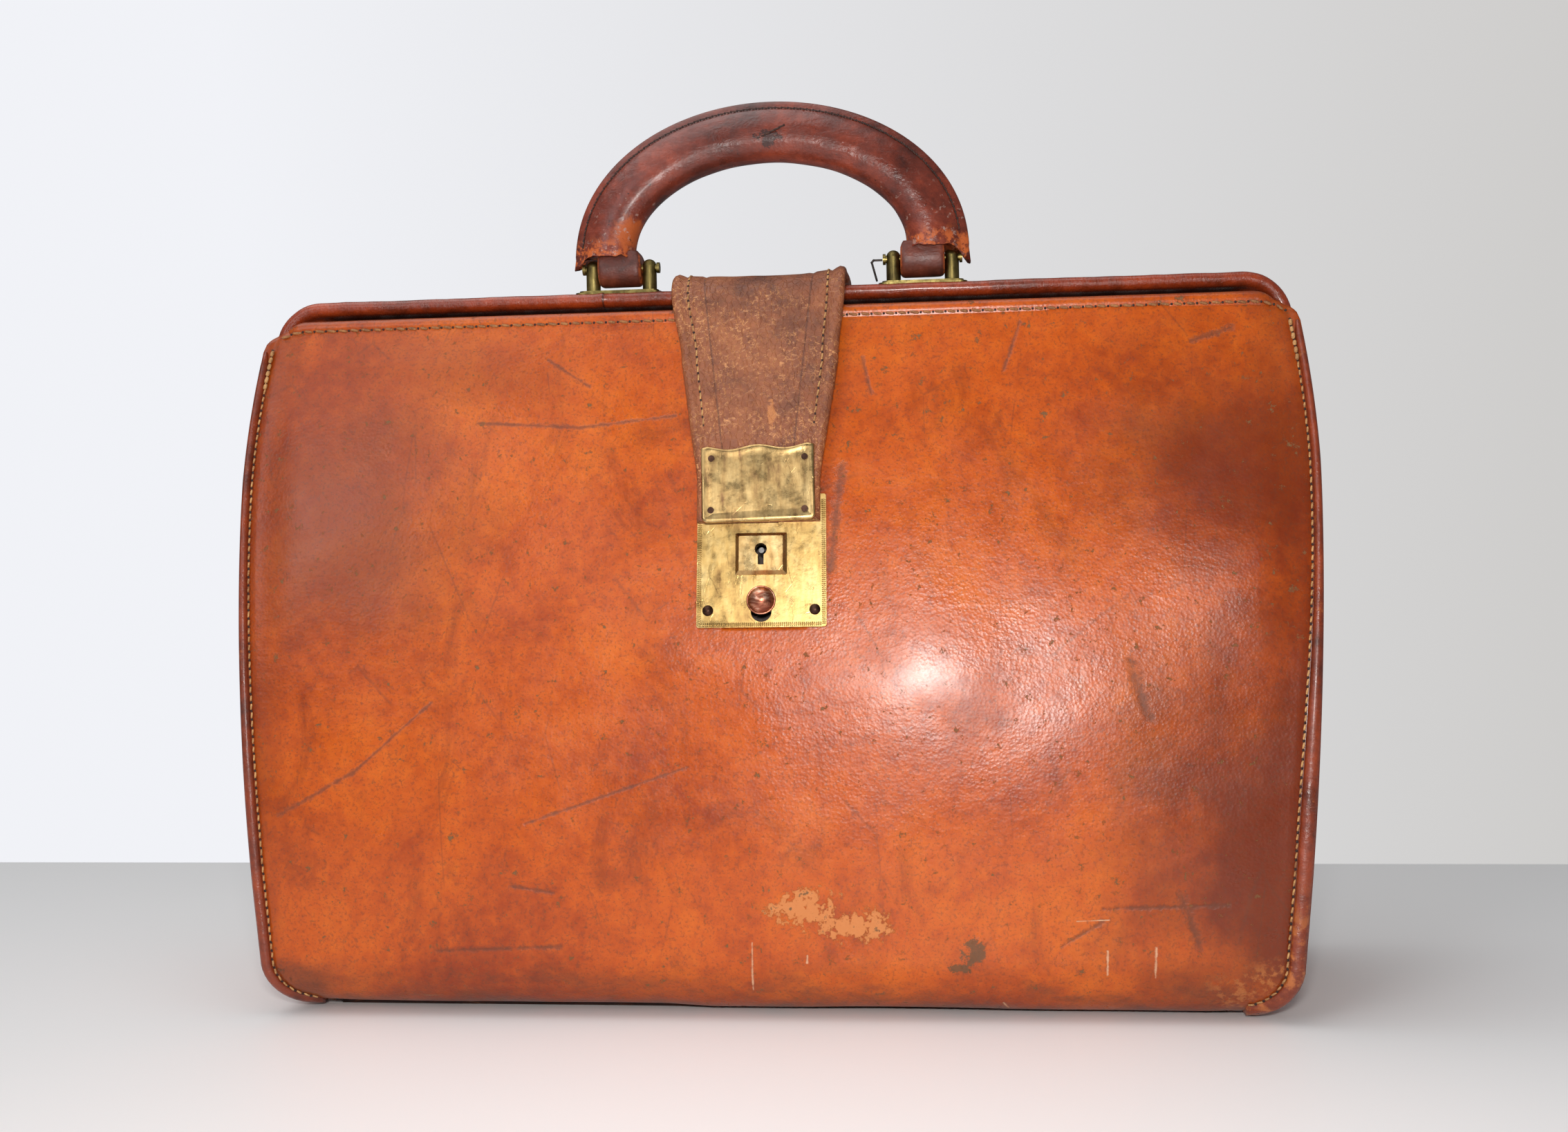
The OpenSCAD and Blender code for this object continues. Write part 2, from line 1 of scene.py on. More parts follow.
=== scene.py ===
"""Doctor bag: leather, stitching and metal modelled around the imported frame."""
from math import copysign, cos, exp, hypot, pi, radians, sin, sqrt, tan

import bpy
import numpy as np
from mathutils import Matrix, Vector, noise

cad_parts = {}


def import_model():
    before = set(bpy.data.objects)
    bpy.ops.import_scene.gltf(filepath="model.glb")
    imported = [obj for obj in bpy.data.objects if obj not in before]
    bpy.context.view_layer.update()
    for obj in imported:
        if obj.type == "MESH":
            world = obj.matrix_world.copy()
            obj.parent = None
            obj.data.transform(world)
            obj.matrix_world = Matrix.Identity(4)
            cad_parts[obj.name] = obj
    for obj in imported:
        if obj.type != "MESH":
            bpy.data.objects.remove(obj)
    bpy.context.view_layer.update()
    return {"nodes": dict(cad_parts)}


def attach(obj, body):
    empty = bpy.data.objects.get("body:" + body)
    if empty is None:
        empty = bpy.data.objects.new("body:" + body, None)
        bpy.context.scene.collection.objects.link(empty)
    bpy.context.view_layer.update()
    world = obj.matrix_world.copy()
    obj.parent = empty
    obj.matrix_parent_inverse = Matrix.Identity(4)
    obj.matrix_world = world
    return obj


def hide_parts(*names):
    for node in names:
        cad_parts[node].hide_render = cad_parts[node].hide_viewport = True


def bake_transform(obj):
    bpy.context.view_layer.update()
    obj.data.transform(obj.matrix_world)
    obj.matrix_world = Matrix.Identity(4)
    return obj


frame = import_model()
nodes = frame["nodes"]
MM = 0.001

# ---- The bag's form, in millimetres, as in its CAD source ----

RAIL_TOP = 291.0
FOOT_R = 24.0
SHOULDER_R = 22.0
SHOULDER_Z = RAIL_TOP - SHOULDER_R
KEEL_R = 22.0
KEEL_Y = 40.0
KEEL_Z = 24.0
HINGE_Y = 5.0
HINGE_Z = 218.0
LEAN = radians(17.9)
LOCK_LEAN = radians(11.83139)
LOCK_X, LOCK_Y, LOCK_Z = -0.5, -47.34443, 177.5
STITCH_Z = 277.6
CHAPE_X = 64.5
PIN_Z = 304.0


def arc(r, off):
    """Height of a circle of radius r at a distance off its middle."""
    return sqrt(max(0.0, r ** 2 - off ** 2))


def outward(form, z):
    """Outward direction at height z of an outline, as (away, up)."""
    slope = (form(z + 1) - form(z - 1)) / 2
    size = hypot(1, slope)
    return 1 / size, -slope / size


def half_w(z):
    """Half of the bag's width at height z."""
    if z < 215:
        return 216 - 15 * ((215 - z) / 200) ** 1.35
    return 216 - 4 * ((z - 215) / 63) ** 2


FOOT_X = half_w(FOOT_R) - FOOT_R
SHOULDER_X = half_w(SHOULDER_Z) - SHOULDER_R


def half_d(z):
    """Distance from the middle plane to the outside of the leather at height z."""
    if z < KEEL_Z:
        return KEEL_Y + arc(KEEL_R, KEEL_Z - max(z, 2))
    return 62 - 45 * (max(0.0, z - 50) / 236) ** 1.8


def edge_x(z):
    """Half width of the outline at height z, with its rounded corners."""
    if z < FOOT_R:
        return FOOT_X + arc(FOOT_R, FOOT_R - z)
    if z > SHOULDER_Z:
        return SHOULDER_X + arc(SHOULDER_R, z - SHOULDER_Z)
    return half_w(z)


def out_of_panel(z):
    """Outward direction of the front or back leather at height z, as (away, up)."""
    if z < KEEL_Z:
        up = (max(z, 2) - KEEL_Z) / KEEL_R
        return arc(1, up), up
    return outward(half_d, z)


def smooth(a, b, x):
    """Smooth step from 0 at a to 1 at b, in either direction."""
    t = min(1.0, max(0.0, (x - a) / (b - a)))
    return t * t * (3 - 2 * t)


def bell(x, size):
    """A smooth bump of height 1 at 0."""
    return exp(-((x / size) ** 2))


def ripple(x, z, scale, seed):
    """Smooth noise from -1 to 1."""
    return noise.noise(Vector((x / scale, z / scale, seed)))


def around_lock(x, z):
    """1 where the lock, its hasp and its strap need flat leather, and 0 well away from them."""
    across = 1 - smooth(38, 62, abs(x - LOCK_X))
    return across * smooth(120, 146, z)


def free_leather(x, z, margin):
    """1 where the leather can sag, and 0 at its seams."""
    sides = smooth(0, margin, edge_x(z) - abs(x))
    return sides * smooth(2, 30, z) * (1 - 0.7 * smooth(255, 275, z))


def front_sag(x, z):
    """How far the front leather stands out from its CAD form."""
    soft = 1.5 * ripple(x, z, 95, 3.1) + 0.55 * ripple(x, z, 38, 7.7)
    right_swell = 3.2 * bell(x - 192, 66) * bell(z - 186, 46)
    left_swell = 2.4 * bell(x + 172, 58) * bell(z - 205, 52)
    hollow = -1.6 * bell(x - 128, 50) * bell(z - 212, 50)
    low_hollow = -1.1 * bell(x + 60, 70) * bell(z - 95, 40)
    total = soft + right_swell + left_swell + hollow + low_hollow
    return (1 - around_lock(x, z)) * free_leather(x, z, 26) * total


def back_sag(x, z):
    """The same for the back, which is flat under the strap's foot."""
    away = smooth(34, 60, abs(x + 1.5)) if z > 190 else 1.0
    return free_leather(x, z, 30) * away * (1.6 * ripple(x, z, 100, 11.3) + 0.6 * ripple(x, z, 36, 5.2))


def hem(x):
    """Height of the lower edge of the front leather, which is creased upwards on the left."""
    lift = 1.5 * smooth(-20, -44, x) + 0.7 * bell(x - 60, 45) - 1.3
    return lift + 0.35 * ripple(x, 0, 40, 1.7)


def front_point(x, z, out=0.0):
    """A point on the front leather, out millimetres off its surface."""
    away, up = out_of_panel(z)
    reach = out + front_sag(x, z)
    low = max(0.0, 1 - z / 16) * hem(x)
    return (x, -(half_d(z) + reach * away), z + reach * up + low)


def back_point(x, z, out=0.0):
    """The same on the back leather."""
    away, up = out_of_panel(z)
    reach = out + back_sag(x, z)
    return (x, half_d(z) + reach * away, z + reach * up)

# ---- Mesh helpers ----

SIDES = {-1: "left", 1: "right"}
FORWARDS = (0, -1, 0)
BACKWARDS = (0, 1, 0)
FINE_STITCH = (1.15, 0.42, 0.42)


def turns(count):
    """Angles evenly round a circle."""
    return [2 * pi * k / count for k in range(count)]


def squarish(v, power):
    """A sine or cosine pushed outwards, so that its loop is nearly square."""
    return copysign(abs(v) ** power, v)


def heading(path, k):
    """Unit direction of a flat path at its k-th point."""
    a, b = path[max(0, k - 1)], path[min(len(path) - 1, k + 1)]
    size = hypot(b[0] - a[0], b[1] - a[1])
    return (b[0] - a[0]) / size, (b[1] - a[1]) / size


def link(name, data):
    """A new object in the scene."""
    thing = bpy.data.objects.new(name, data)
    bpy.context.scene.collection.objects.link(thing)
    return thing


def enlist(piece, slot, body=None, *stood_for):
    """Attaches a piece to the body that it rides on and hides the CAD nodes that it replaces; slot is not
    used.
    """
    if stood_for:
        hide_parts(*stood_for)
    if body:
        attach(piece, body)
    return piece


def keep_rest(mesh):
    """Stores each point's place at rest, so that a pattern doesn't slide when the piece bends."""
    found = mesh.attributes.get("rest")
    if found:
        mesh.attributes.remove(found)
    spots = np.zeros(len(mesh.vertices) * 3, np.float32)
    mesh.vertices.foreach_get("co", spots)
    mesh.attributes.new("rest", "FLOAT_VECTOR", "POINT").data.foreach_set("vector", spots)


def make_piece(name, points, faces, *finishes):
    """A new object from points in millimetres."""
    mesh = bpy.data.meshes.new(name)
    mesh.from_pydata((np.asarray(points, float) * MM).tolist(), [], faces)
    for key in finishes:
        mesh.materials.append(finish[key])
    mesh.update()
    mesh.shade_smooth()
    keep_rest(mesh)
    return link(name, mesh)


def bake_modifiers(piece):
    """Applies the piece's modifiers to its mesh."""
    graph = bpy.context.evaluated_depsgraph_get()
    mesh = bpy.data.meshes.new_from_object(piece.evaluated_get(graph))
    piece.modifiers.clear()
    piece.data = mesh
    keep_rest(mesh)
    return piece


def thicken(piece, thickness):
    """Gives a sheet its thickness, inwards, with the second material on its inner face."""
    solid = piece.modifiers.new("thick", "SOLIDIFY")
    solid.thickness = thickness * MM
    solid.offset = -1
    solid.material_offset = 1
    solid.material_offset_rim = 1
    return bake_modifiers(piece)


def grid_faces(rows, columns, closed=False, start=0):
    """Faces between rows of points, with each row closed on itself if asked."""
    last = columns if closed else columns - 1
    faces = []
    for r in range(rows - 1):
        for c in range(last):
            n = (c + 1) % columns
            a = start + r * columns
            b = a + columns
            faces.append((a + c, a + n, b + n, b + c))
    return faces


def sweep(name, rings, key, capped=True):
    """A tube through rings of equally many points, with its faces outwards."""
    count = len(rings[0])
    points = [p for ring in rings for p in ring]
    faces = grid_faces(len(rings), count, closed=True)
    if capped:
        faces += caps(0, len(points), count)
    piece = make_piece(name, points, faces, key)
    turn_out(piece.data)
    return piece


def caps(start, end, count):
    """The two end faces of a tube whose rings have count points each."""
    return [tuple(range(start + count - 1, start - 1, -1)), tuple(range(end - count, end))]


def resample(path, pitch):
    """Points and directions every pitch millimetres along a path."""
    spots = [Vector(p) for p in path]
    found = []
    left = pitch / 2
    for a, b in zip(spots, spots[1:]):
        length = (b - a).length
        while left <= length:
            found.append((a.lerp(b, left / length), (b - a).normalized()))
            left += pitch
        left -= length
    return found


def turn_out(mesh):
    """Makes a closed mesh's faces look outwards."""
    volume = 0.0
    for p in mesh.polygons:
        spots = [mesh.vertices[v].co for v in p.vertices]
        for a, b in zip(spots[1:], spots[2:]):
            volume += spots[0].dot(a.cross(b))
    if volume < 0:
        mesh.flip_normals()


def pill(points, faces, centre, way, up, size):
    """Adds a long bead: size is (half length, half width, half height)."""
    side = way.cross(up).normalized()
    lift = side.cross(way).normalized()
    base = len(points)
    ends = ((-1, 0.35), (-0.72, 0.85), (0, 1.0), (0.72, 0.85), (1, 0.35))
    for along, swell in ends:
        for turn in turns(6):
            spot = centre + way * (size[0] * along)
            spot = spot + side * (size[1] * swell * cos(turn)) + lift * (size[2] * swell * sin(turn))
            points.append(tuple(spot))
    faces.extend(grid_faces(len(ends), 6, closed=True, start=base))
    faces.extend(caps(base, len(points), 6))


def stitches(name, paths, pitch, size=FINE_STITCH, thread="thread", up=FORWARDS,
             slot="strap_leather", body=None):
    """A row of thread stitches with a dark bead between each two, painted with the shade of a needle hole,
    along each path.
    """
    points, faces, kinds = [], [], []
    up = Vector(up)
    for number, path in enumerate(paths):
        for k, (spot, way) in enumerate(resample(path, pitch)):
            wobble = 0.13 * noise.noise(Vector((k * 0.7, number * 9.1, 2.2)))
            side = way.cross(up).normalized()
            tilt = (way + side * 0.16).normalized()
            long = size[0] * (1 + 0.25 * noise.noise(Vector((k * 1.3, number * 4.3, 8.8))))
            pill(points, faces, spot + side * wobble, tilt, up, (long, size[1], size[2]))
            kinds += [0] * (len(faces) - len(kinds))
            # Painted shade: a low dark bead stands where a needle hole's shade would be.
            pill(points, faces, spot + way * (pitch / 2), way, up, (0.48, 0.5, 0.16))
            kinds += [1] * (len(faces) - len(kinds))
    piece = make_piece(name, points, faces, thread, "hole")
    piece.data.polygons.foreach_set("material_index", kinds)
    return enlist(piece, slot, body)

# ---- Materials ----


def srgb(r, g, b):
    """A linear colour from 0 to 255 screen values."""
    def one(v):
        v /= 255
        return v / 12.92 if v <= 0.04045 else ((v + 0.055) / 1.055) ** 2.4
    return (one(r), one(g), one(b), 1.0)


class Shade:
    """One material's nodes, with short calls for what the finishes share."""

    def __init__(self, name, cad=False):
        self.material = bpy.data.materials.new(name)
        self.material.use_nodes = True
        self.tree = self.material.node_tree
        self.shader = self.tree.nodes["Principled BSDF"]
        if cad:
            self.place = self.tree.nodes.new("ShaderNodeTexCoord").outputs["Object"]
        else:
            source = self.tree.nodes.new("ShaderNodeAttribute")
            source.attribute_name = "rest"
            self.place = source.outputs["Vector"]
        self.x, self.y, self.z = self.node("ShaderNodeSeparateXYZ", {0: self.place}).outputs
        self.made_noise = {}
        self.colour = None

    def feed(self, socket, value):
        if isinstance(value, bpy.types.NodeSocket):
            self.tree.links.new(value, socket)
        else:
            socket.default_value = value

    def node(self, kind, inputs, **settings):
        made = self.tree.nodes.new(kind)
        for key, value in settings.items():
            setattr(made, key, value)
        for key, value in inputs.items():
            self.feed(made.inputs[key], value)
        return made

    def vector(self, operation, *values, out="Vector"):
        inputs = dict(enumerate(values))
        return self.node("ShaderNodeVectorMath", inputs, operation=operation).outputs[out]

    def stretch(self, factors):
        return self.vector("MULTIPLY", self.place, factors) if factors else self.place

    def noise(self, scale, detail=4.0, rough=0.55, factors=None, warp=0.0):
        key = (scale, detail, rough, factors, warp)
        if key not in self.made_noise:
            inputs = {"Vector": self.stretch(factors), "Scale": scale, "Detail": detail}
            inputs.update({"Roughness": rough, "Distortion": warp})
            self.made_noise[key] = self.node("ShaderNodeTexNoise", inputs).outputs["Fac"]
        return self.made_noise[key]

    def cells(self, scale, factors=None, feature="DISTANCE_TO_EDGE"):
        inputs = {"Vector": self.stretch(factors), "Scale": scale, "Randomness": 1.0}
        return self.node("ShaderNodeTexVoronoi", inputs, feature=feature).outputs["Distance"]

    def band(self, value, low, high, out_low=0.0, out_high=1.0):
        inputs = {"Value": value, "From Min": low, "From Max": high, "To Min": out_low, "To Max": out_high}
        made = self.node("ShaderNodeMapRange", inputs, interpolation_type="SMOOTHSTEP")
        return made.outputs["Result"]

    def cloud(self, low, high, *noise):
        """0 to 1 as a noise goes from low to high."""
        return self.band(self.noise(*noise), low, high)

    def gloss(self, low, high, *noise):
        """Roughness from low to high, led by a noise."""
        return self.band(self.noise(*noise), 0.3, 0.7, low, high)

    def cracks(self, scale, width, factors=None):
        return self.band(self.cells(scale, factors), width, 0.0)

    def calc(self, operation, *values):
        total = values[0]
        for value in values[1:]:
            total = self.node("ShaderNodeMath", {0: total, 1: value}, operation=operation).outputs[0]
        return total

    def size_of(self, value):
        return self.node("ShaderNodeMath", {0: value}, operation="ABSOLUTE").outputs[0]

    def add(self, *values):
        return self.calc("ADD", *values)

    def both(self, *masks):
        return self.calc("MULTIPLY", *masks)

    def any(self, *masks):
        return self.calc("MAXIMUM", *masks)

    def blend(self, share, a, b):
        return self.node("ShaderNodeMix", {0: share, 6: a, 7: b}, data_type="RGBA").outputs[2]

    def paint(self, mask, colour):
        """Lays a screen colour over the finish where the mask is."""
        self.colour = self.blend(mask, self.colour, srgb(*colour))

    def ramp(self, value, *stops):
        """Starts the finish's colour from (position, screen colour) stops."""
        made = self.node("ShaderNodeValToRGB", {0: value})
        ramp = made.color_ramp
        while len(ramp.elements) < len(stops):
            ramp.elements.new(0.5)
        for element, (spot, colour) in zip(ramp.elements, stops):
            element.position = spot
            element.color = srgb(*colour)
        self.colour = made.outputs["Color"]

    def dye(self, light, middle, dark, size):
        """Dyed leather in broad uneven clouds with a fine mottle."""
        clouds = self.noise(size, 6, 0.6, None, 0.6)
        value = self.add(self.both(clouds, 0.64), self.both(self.noise(170, 5, 0.65), 0.36))
        self.ramp(value, (0.35, dark), (0.5, middle), (0.64, light))

    def torn(self, value, middle, much, *noise):
        """A value made uneven by a noise."""
        return self.add(value, self.both(self.calc("SUBTRACT", self.noise(*noise), middle), much))

    def spot(self, centre, radii, soft=0.5, wobble=0.5, scale=30.0):
        """A ragged patch round a centre given in metres."""
        away = self.vector("SUBTRACT", self.place, centre)
        sized = self.vector("MULTIPLY", away, tuple(1 / r for r in radii))
        reach = self.vector("LENGTH", sized, out="Value")
        return self.band(self.torn(reach, 0.5, wobble * 2, scale, 6, 0.65), 1.0, 1.0 - soft)

    def flake(self, centre, radii, scale=230.0, torn=4.0):
        """A patch torn into islands, round a centre given in metres."""
        soft = self.spot(centre, radii, 1.0, 0.25)
        return self.band(self.torn(soft, 0.5, torn, scale, 8, 0.76), 0.45, 0.6)

    def line(self, start, end, width, wobble=0.6):
        """A worn streak between two places, each given as (x, z) in metres."""
        a = Vector((start[0], 0, start[1]))
        d = Vector((end[0], 0, end[1])) - a
        away = self.vector("SUBTRACT", self.stretch((1, 0, 1)), a)
        dot = self.vector("DOT_PRODUCT", away, d / d.length_squared, out="Value")
        share = self.node("ShaderNodeClamp", {0: dot}).outputs[0]
        along = self.node("ShaderNodeVectorMath", {0: d, "Scale": share}, operation="SCALE").outputs[0]
        reach = self.vector("LENGTH", self.vector("SUBTRACT", away, along), out="Value")
        sized = self.calc("DIVIDE", reach, width)
        return self.band(self.torn(sized, 0.42, wobble * 4, 240.0, 5, 0.75), 1.0, 0.1)

    def lines(self, marks, wider=1.0):
        return self.any(*[self.line(a, b, width * wider) for a, b, width in marks])

    def bump(self, height, distance, strength, below=None):
        inputs = {"Height": height, "Distance": distance, "Strength": strength}
        if below is not None:
            inputs["Normal"] = below
        return self.node("ShaderNodeBump", inputs).outputs["Normal"]

    def leather(self, grain, depth, crease):
        """Fine pores, a soft uneven skin and shallow creases."""
        pores = self.cells(grain, None, "F1")
        folds = self.noise(70, 6, 0.62, (1, 1, 2.4), 0.8)
        height = self.add(self.both(pores, 0.35), self.both(self.noise(260, 5, 0.6), 0.9))
        return self.bump(folds, 0.0012, crease, self.bump(height, depth, 0.75))

    def finish(self, rough, normal=None, **fixed):
        """Feeds the shader; further values are set on its sockets by name."""
        self.feed(self.shader.inputs["Base Color"], self.colour)
        self.feed(self.shader.inputs["Roughness"], rough)
        if normal is not None:
            self.feed(self.shader.inputs["Normal"], normal)
        for key, value in fixed.items():
            self.shader.inputs[key.replace("_", " ")].default_value = value
        return self.material


# Screen colours of the bag's main hide
HIDE = ((206, 99, 20), (190, 82, 14), (152, 56, 12))
PATINA = (98, 33, 12)
GRIME = (94, 52, 34)
PORES = 0.0002


def panel_patina(s):
    """Where handling has darkened the front leather."""
    left = s.spot((-0.172, -0.04, 0.2), (0.075, 0.09, 0.09), 0.75, 0.6)
    upper_left = s.spot((-0.15, -0.03, 0.258), (0.09, 0.09, 0.03), 0.8, 0.6)
    upper_right = s.spot((0.19, -0.04, 0.212), (0.085, 0.09, 0.075), 0.85, 0.6)
    right = s.spot((0.215, -0.06, 0.075), (0.115, 0.09, 0.15), 0.8, 0.6)
    low = s.band(s.add(s.z, s.both(s.noise(22, 4), 0.03)), 0.042, 0.012)
    side = s.band(s.add(s.size_of(s.x), s.both(s.noise(30, 4), 0.03)), 0.2, 0.226)
    wisps = s.cloud(0.5, 0.7, 34, 8, 0.72, (1, 1, 0.5), 1.2)
    shares = ((left, 0.62), (upper_left, 0.34), (upper_right, 0.78), (right, 0.88), (low, 0.45),
              (side, 0.55), (wisps, 0.42))
    return s.any(*[s.both(mask, share) for mask, share in shares])


# Dark scuffs on the front, as (from, to, width) in metres
SCUFFS = [
    ((0.1405, 0.137), (0.1462, 0.116), 0.0028), ((0.157, 0.05), (0.163, 0.031), 0.0022),
    ((0.128, 0.0445), (0.174, 0.0462), 0.0012), ((-0.194, 0.08), (-0.163, 0.097), 0.0011),
    ((-0.163, 0.097), (-0.132, 0.124), 0.0008), ((-0.118, 0.236), (-0.075, 0.233), 0.001),
    ((-0.075, 0.233), (-0.036, 0.237), 0.0009), ((0.103, 0.272), (0.096, 0.252), 0.001),
    ((0.0395, 0.259), (0.043, 0.244), 0.0012), ((0.031, 0.215), (0.0265, 0.174), 0.0024),
    ((-0.1, 0.0525), (-0.083, 0.0498), 0.0011), ((-0.094, 0.0765), (-0.03, 0.098), 0.0008),
    ((0.17, 0.262), (0.186, 0.267), 0.0016), ((-0.09, 0.262), (-0.072, 0.25), 0.0009),
    ((0.128, 0.04), (0.112, 0.03), 0.001), ((-0.13, 0.027), (-0.08, 0.029), 0.0012),
]
# Pale nicks through the dye, in the same form
NICKS = [
    ((-0.0053, 0.031), (-0.0056, 0.012), 0.0007), ((0.1293, 0.0285), (0.1291, 0.0195), 0.0008),
    ((0.1473, 0.03), (0.1469, 0.0185), 0.0009), ((0.0159, 0.0262), (0.0157, 0.0235), 0.0007),
    ((0.118, 0.0398), (0.13, 0.0403), 0.0004), ((0.0905, 0.0065), (0.0925, 0.0035), 0.0007),
]


def front_leather_finish():
    """Orange-tan hide, polished and stained by age, with painted shade across its top under the rail."""
    s = Shade("tan_front")
    s.dye(*HIDE, 13.0)
    s.paint(panel_patina(s), PATINA)
    faint = s.both(s.cracks(26, 0.012, (1, 1, 0.35)), s.cloud(0.5, 0.62, 34, 3), 0.35)
    dark = s.lines(SCUFFS, 1.5)
    s.paint(s.any(s.both(dark, 0.66), faint), GRIME)
    s.paint(s.both(s.band(s.z, 0.034, 0.002), s.cloud(0.42, 0.68, 38, 6, 0.7, (1, 1, 2.2)), 0.75), GRIME)
    specks = s.both(s.cloud(0.64, 0.74, 420, 3, 0.6), 0.55)
    s.paint(s.any(specks, s.both(s.cloud(0.5, 0.66, 900, 3, 0.7), 0.45)), GRIME)
    patch = s.any(s.flake((0.0145, -0.062, 0.0445), (0.022, 0.05, 0.013)),
                  s.flake((0.035, -0.062, 0.0375), (0.026, 0.05, 0.0105)))
    s.paint(patch, (203, 124, 66))
    stain = s.any(s.flake((0.0795, -0.06, 0.0275), (0.0085, 0.05, 0.0095)),
                  s.flake((0.0725, -0.06, 0.0215), (0.009, 0.05, 0.0035)))
    s.paint(s.both(stain, 0.8), (84, 66, 40))
    corner = s.spot((0.193, -0.055, 0.013), (0.034, 0.05, 0.014))
    s.paint(s.both(corner, s.cloud(0.47, 0.6, 230, 5, 0.7), 0.75), (182, 108, 54))
    s.paint(s.both(s.spot((-0.19, -0.055, 0.014), (0.024, 0.05, 0.012), 0.6, 0.4), 0.6), (88, 44, 26))
    pale = s.lines(NICKS)
    s.paint(s.both(pale, 0.8), (222, 176, 140))
    # Painted shade: darker across the top, in the recess under the rail's roll.
    s.paint(s.both(s.band(s.z, 0.2795, 0.2825), 0.55), (84, 32, 14))
    worn = s.any(patch, pale, s.both(dark, 0.6))
    rough = s.add(s.gloss(0.27, 0.38, 48, 5, 0.6), s.both(worn, 0.28))
    normal = s.bump(s.both(worn, -1.0), 0.0004, 0.6, s.leather(820, PORES, 0.1))
    return s.finish(rough, normal, Specular_IOR_Level=0.38, Coat_Weight=0.07, Coat_Roughness=0.15)


def plain_tan_finish():
    """The same hide without the front's marks."""
    s = Shade("tan_leather")
    s.dye(*HIDE, 15.0)
    low = s.band(s.add(s.z, s.both(s.noise(24, 4), 0.03)), 0.05, 0.012)
    s.paint(s.both(s.any(s.cloud(0.5, 0.68, 36, 7, 0.7, (1, 1, 0.5), 1.4), low), 0.5), PATINA)
    s.paint(s.both(s.cracks(30, 0.014, (1, 0.4, 1)), s.cloud(0.5, 0.6, 30, 3), 0.5), GRIME)
    return s.finish(s.gloss(0.34, 0.5, 60, 5, 0.6), s.leather(820, PORES, 0.25), Specular_IOR_Level=0.42)


def welt_finish():
    """Edge leather rubbed dark, with pale wear at the lower right."""
    s = Shade("welt_leather")
    s.dye((150, 62, 28), (122, 48, 22), (74, 30, 16), 40.0)
    worn = s.both(s.band(s.z, 0.06, 0.025), s.band(s.x, 0.1, 0.19), s.cloud(0.44, 0.6, 180, 6, 0.7))
    s.paint(s.any(worn, s.both(s.cloud(0.6, 0.7, 120, 6, 0.7), 0.5)), (178, 100, 48))
    return s.finish(s.gloss(0.26, 0.44, 150, 4), s.leather(900, PORES, 0.6), Coat_Weight=0.12,
                    Coat_Roughness=0.2)


def rail_finish():
    """Glossy red-brown roll, crazed across, with the cover's seam on the left and a painted shadow under its
    front.
    """
    s = Shade("rail_leather")
    s.dye((170, 66, 26), (140, 52, 22), (92, 36, 18), 34.0)
    seam = s.band(s.size_of(s.add(s.x, 0.0702)), 0.0007, 0.0001)
    s.paint(s.any(s.both(seam, 0.8), s.both(s.cloud(0.58, 0.68, 46, 6, 0.7), 0.4)), (52, 24, 14))
    # Painted shadow: near black on the underside of the roll's front, where it overhangs the strip.
    under = s.both(s.band(s.z, 0.2867, 0.2853), s.band(s.y, 0.002, -0.001),
                   s.band(s.size_of(s.x), 0.2, 0.188))
    s.paint(s.both(under, 0.92), (18, 8, 6))
    craze = s.noise(420, 5, 0.7, (2.2, 1, 1))
    normal = s.bump(craze, 0.00035, 0.8, s.leather(700, PORES, 0.5))
    return s.finish(s.band(craze, 0.35, 0.65, 0.16, 0.4), normal, Coat_Weight=0.3, Coat_Roughness=0.15)


def strap_finish():
    """Dry brown strap with a pale crackle and rubbed folded edges."""
    s = Shade("strap_leather")
    s.dye((162, 96, 58), (136, 76, 46), (98, 54, 36), 26.0)
    crackle = s.cracks(420, 0.1, (1, 1, 0.8))
    speckle = s.cloud(0.47, 0.58, 640, 4, 0.7)
    pale = s.any(s.both(crackle, speckle), s.both(s.cracks(1050, 0.12), speckle, 0.7))
    s.paint(s.both(pale, s.cloud(0.38, 0.6, 34, 5, 0.65), 0.95), (214, 150, 96))
    s.paint(s.both(s.cloud(0.55, 0.7, 30, 6, 0.7, (1, 1, 0.6)), 0.55), (78, 40, 28))
    scuff = s.flake((0.0035, -0.034, 0.236), (0.0032, 0.03, 0.011), 320.0, 2.2)
    s.paint(s.both(scuff, 0.55), (206, 132, 74))
    crease = s.any(s.line((-0.0252, 0.294), (-0.0146, 0.212), 0.0007, 0.4),
                   s.line((0.0196, 0.294), (0.0116, 0.212), 0.0007, 0.4))
    s.paint(s.both(crease, 0.6), (70, 36, 26))
    height = s.add(s.both(crackle, 0.5), s.noise(190, 6, 0.65, (0.6, 1, 2.2), 0.8))
    normal = s.bump(height, 0.0005, 0.7, s.leather(900, PORES, 0.4))
    return s.finish(s.gloss(0.42, 0.6, 120, 5), normal, Specular_IOR_Level=0.45)


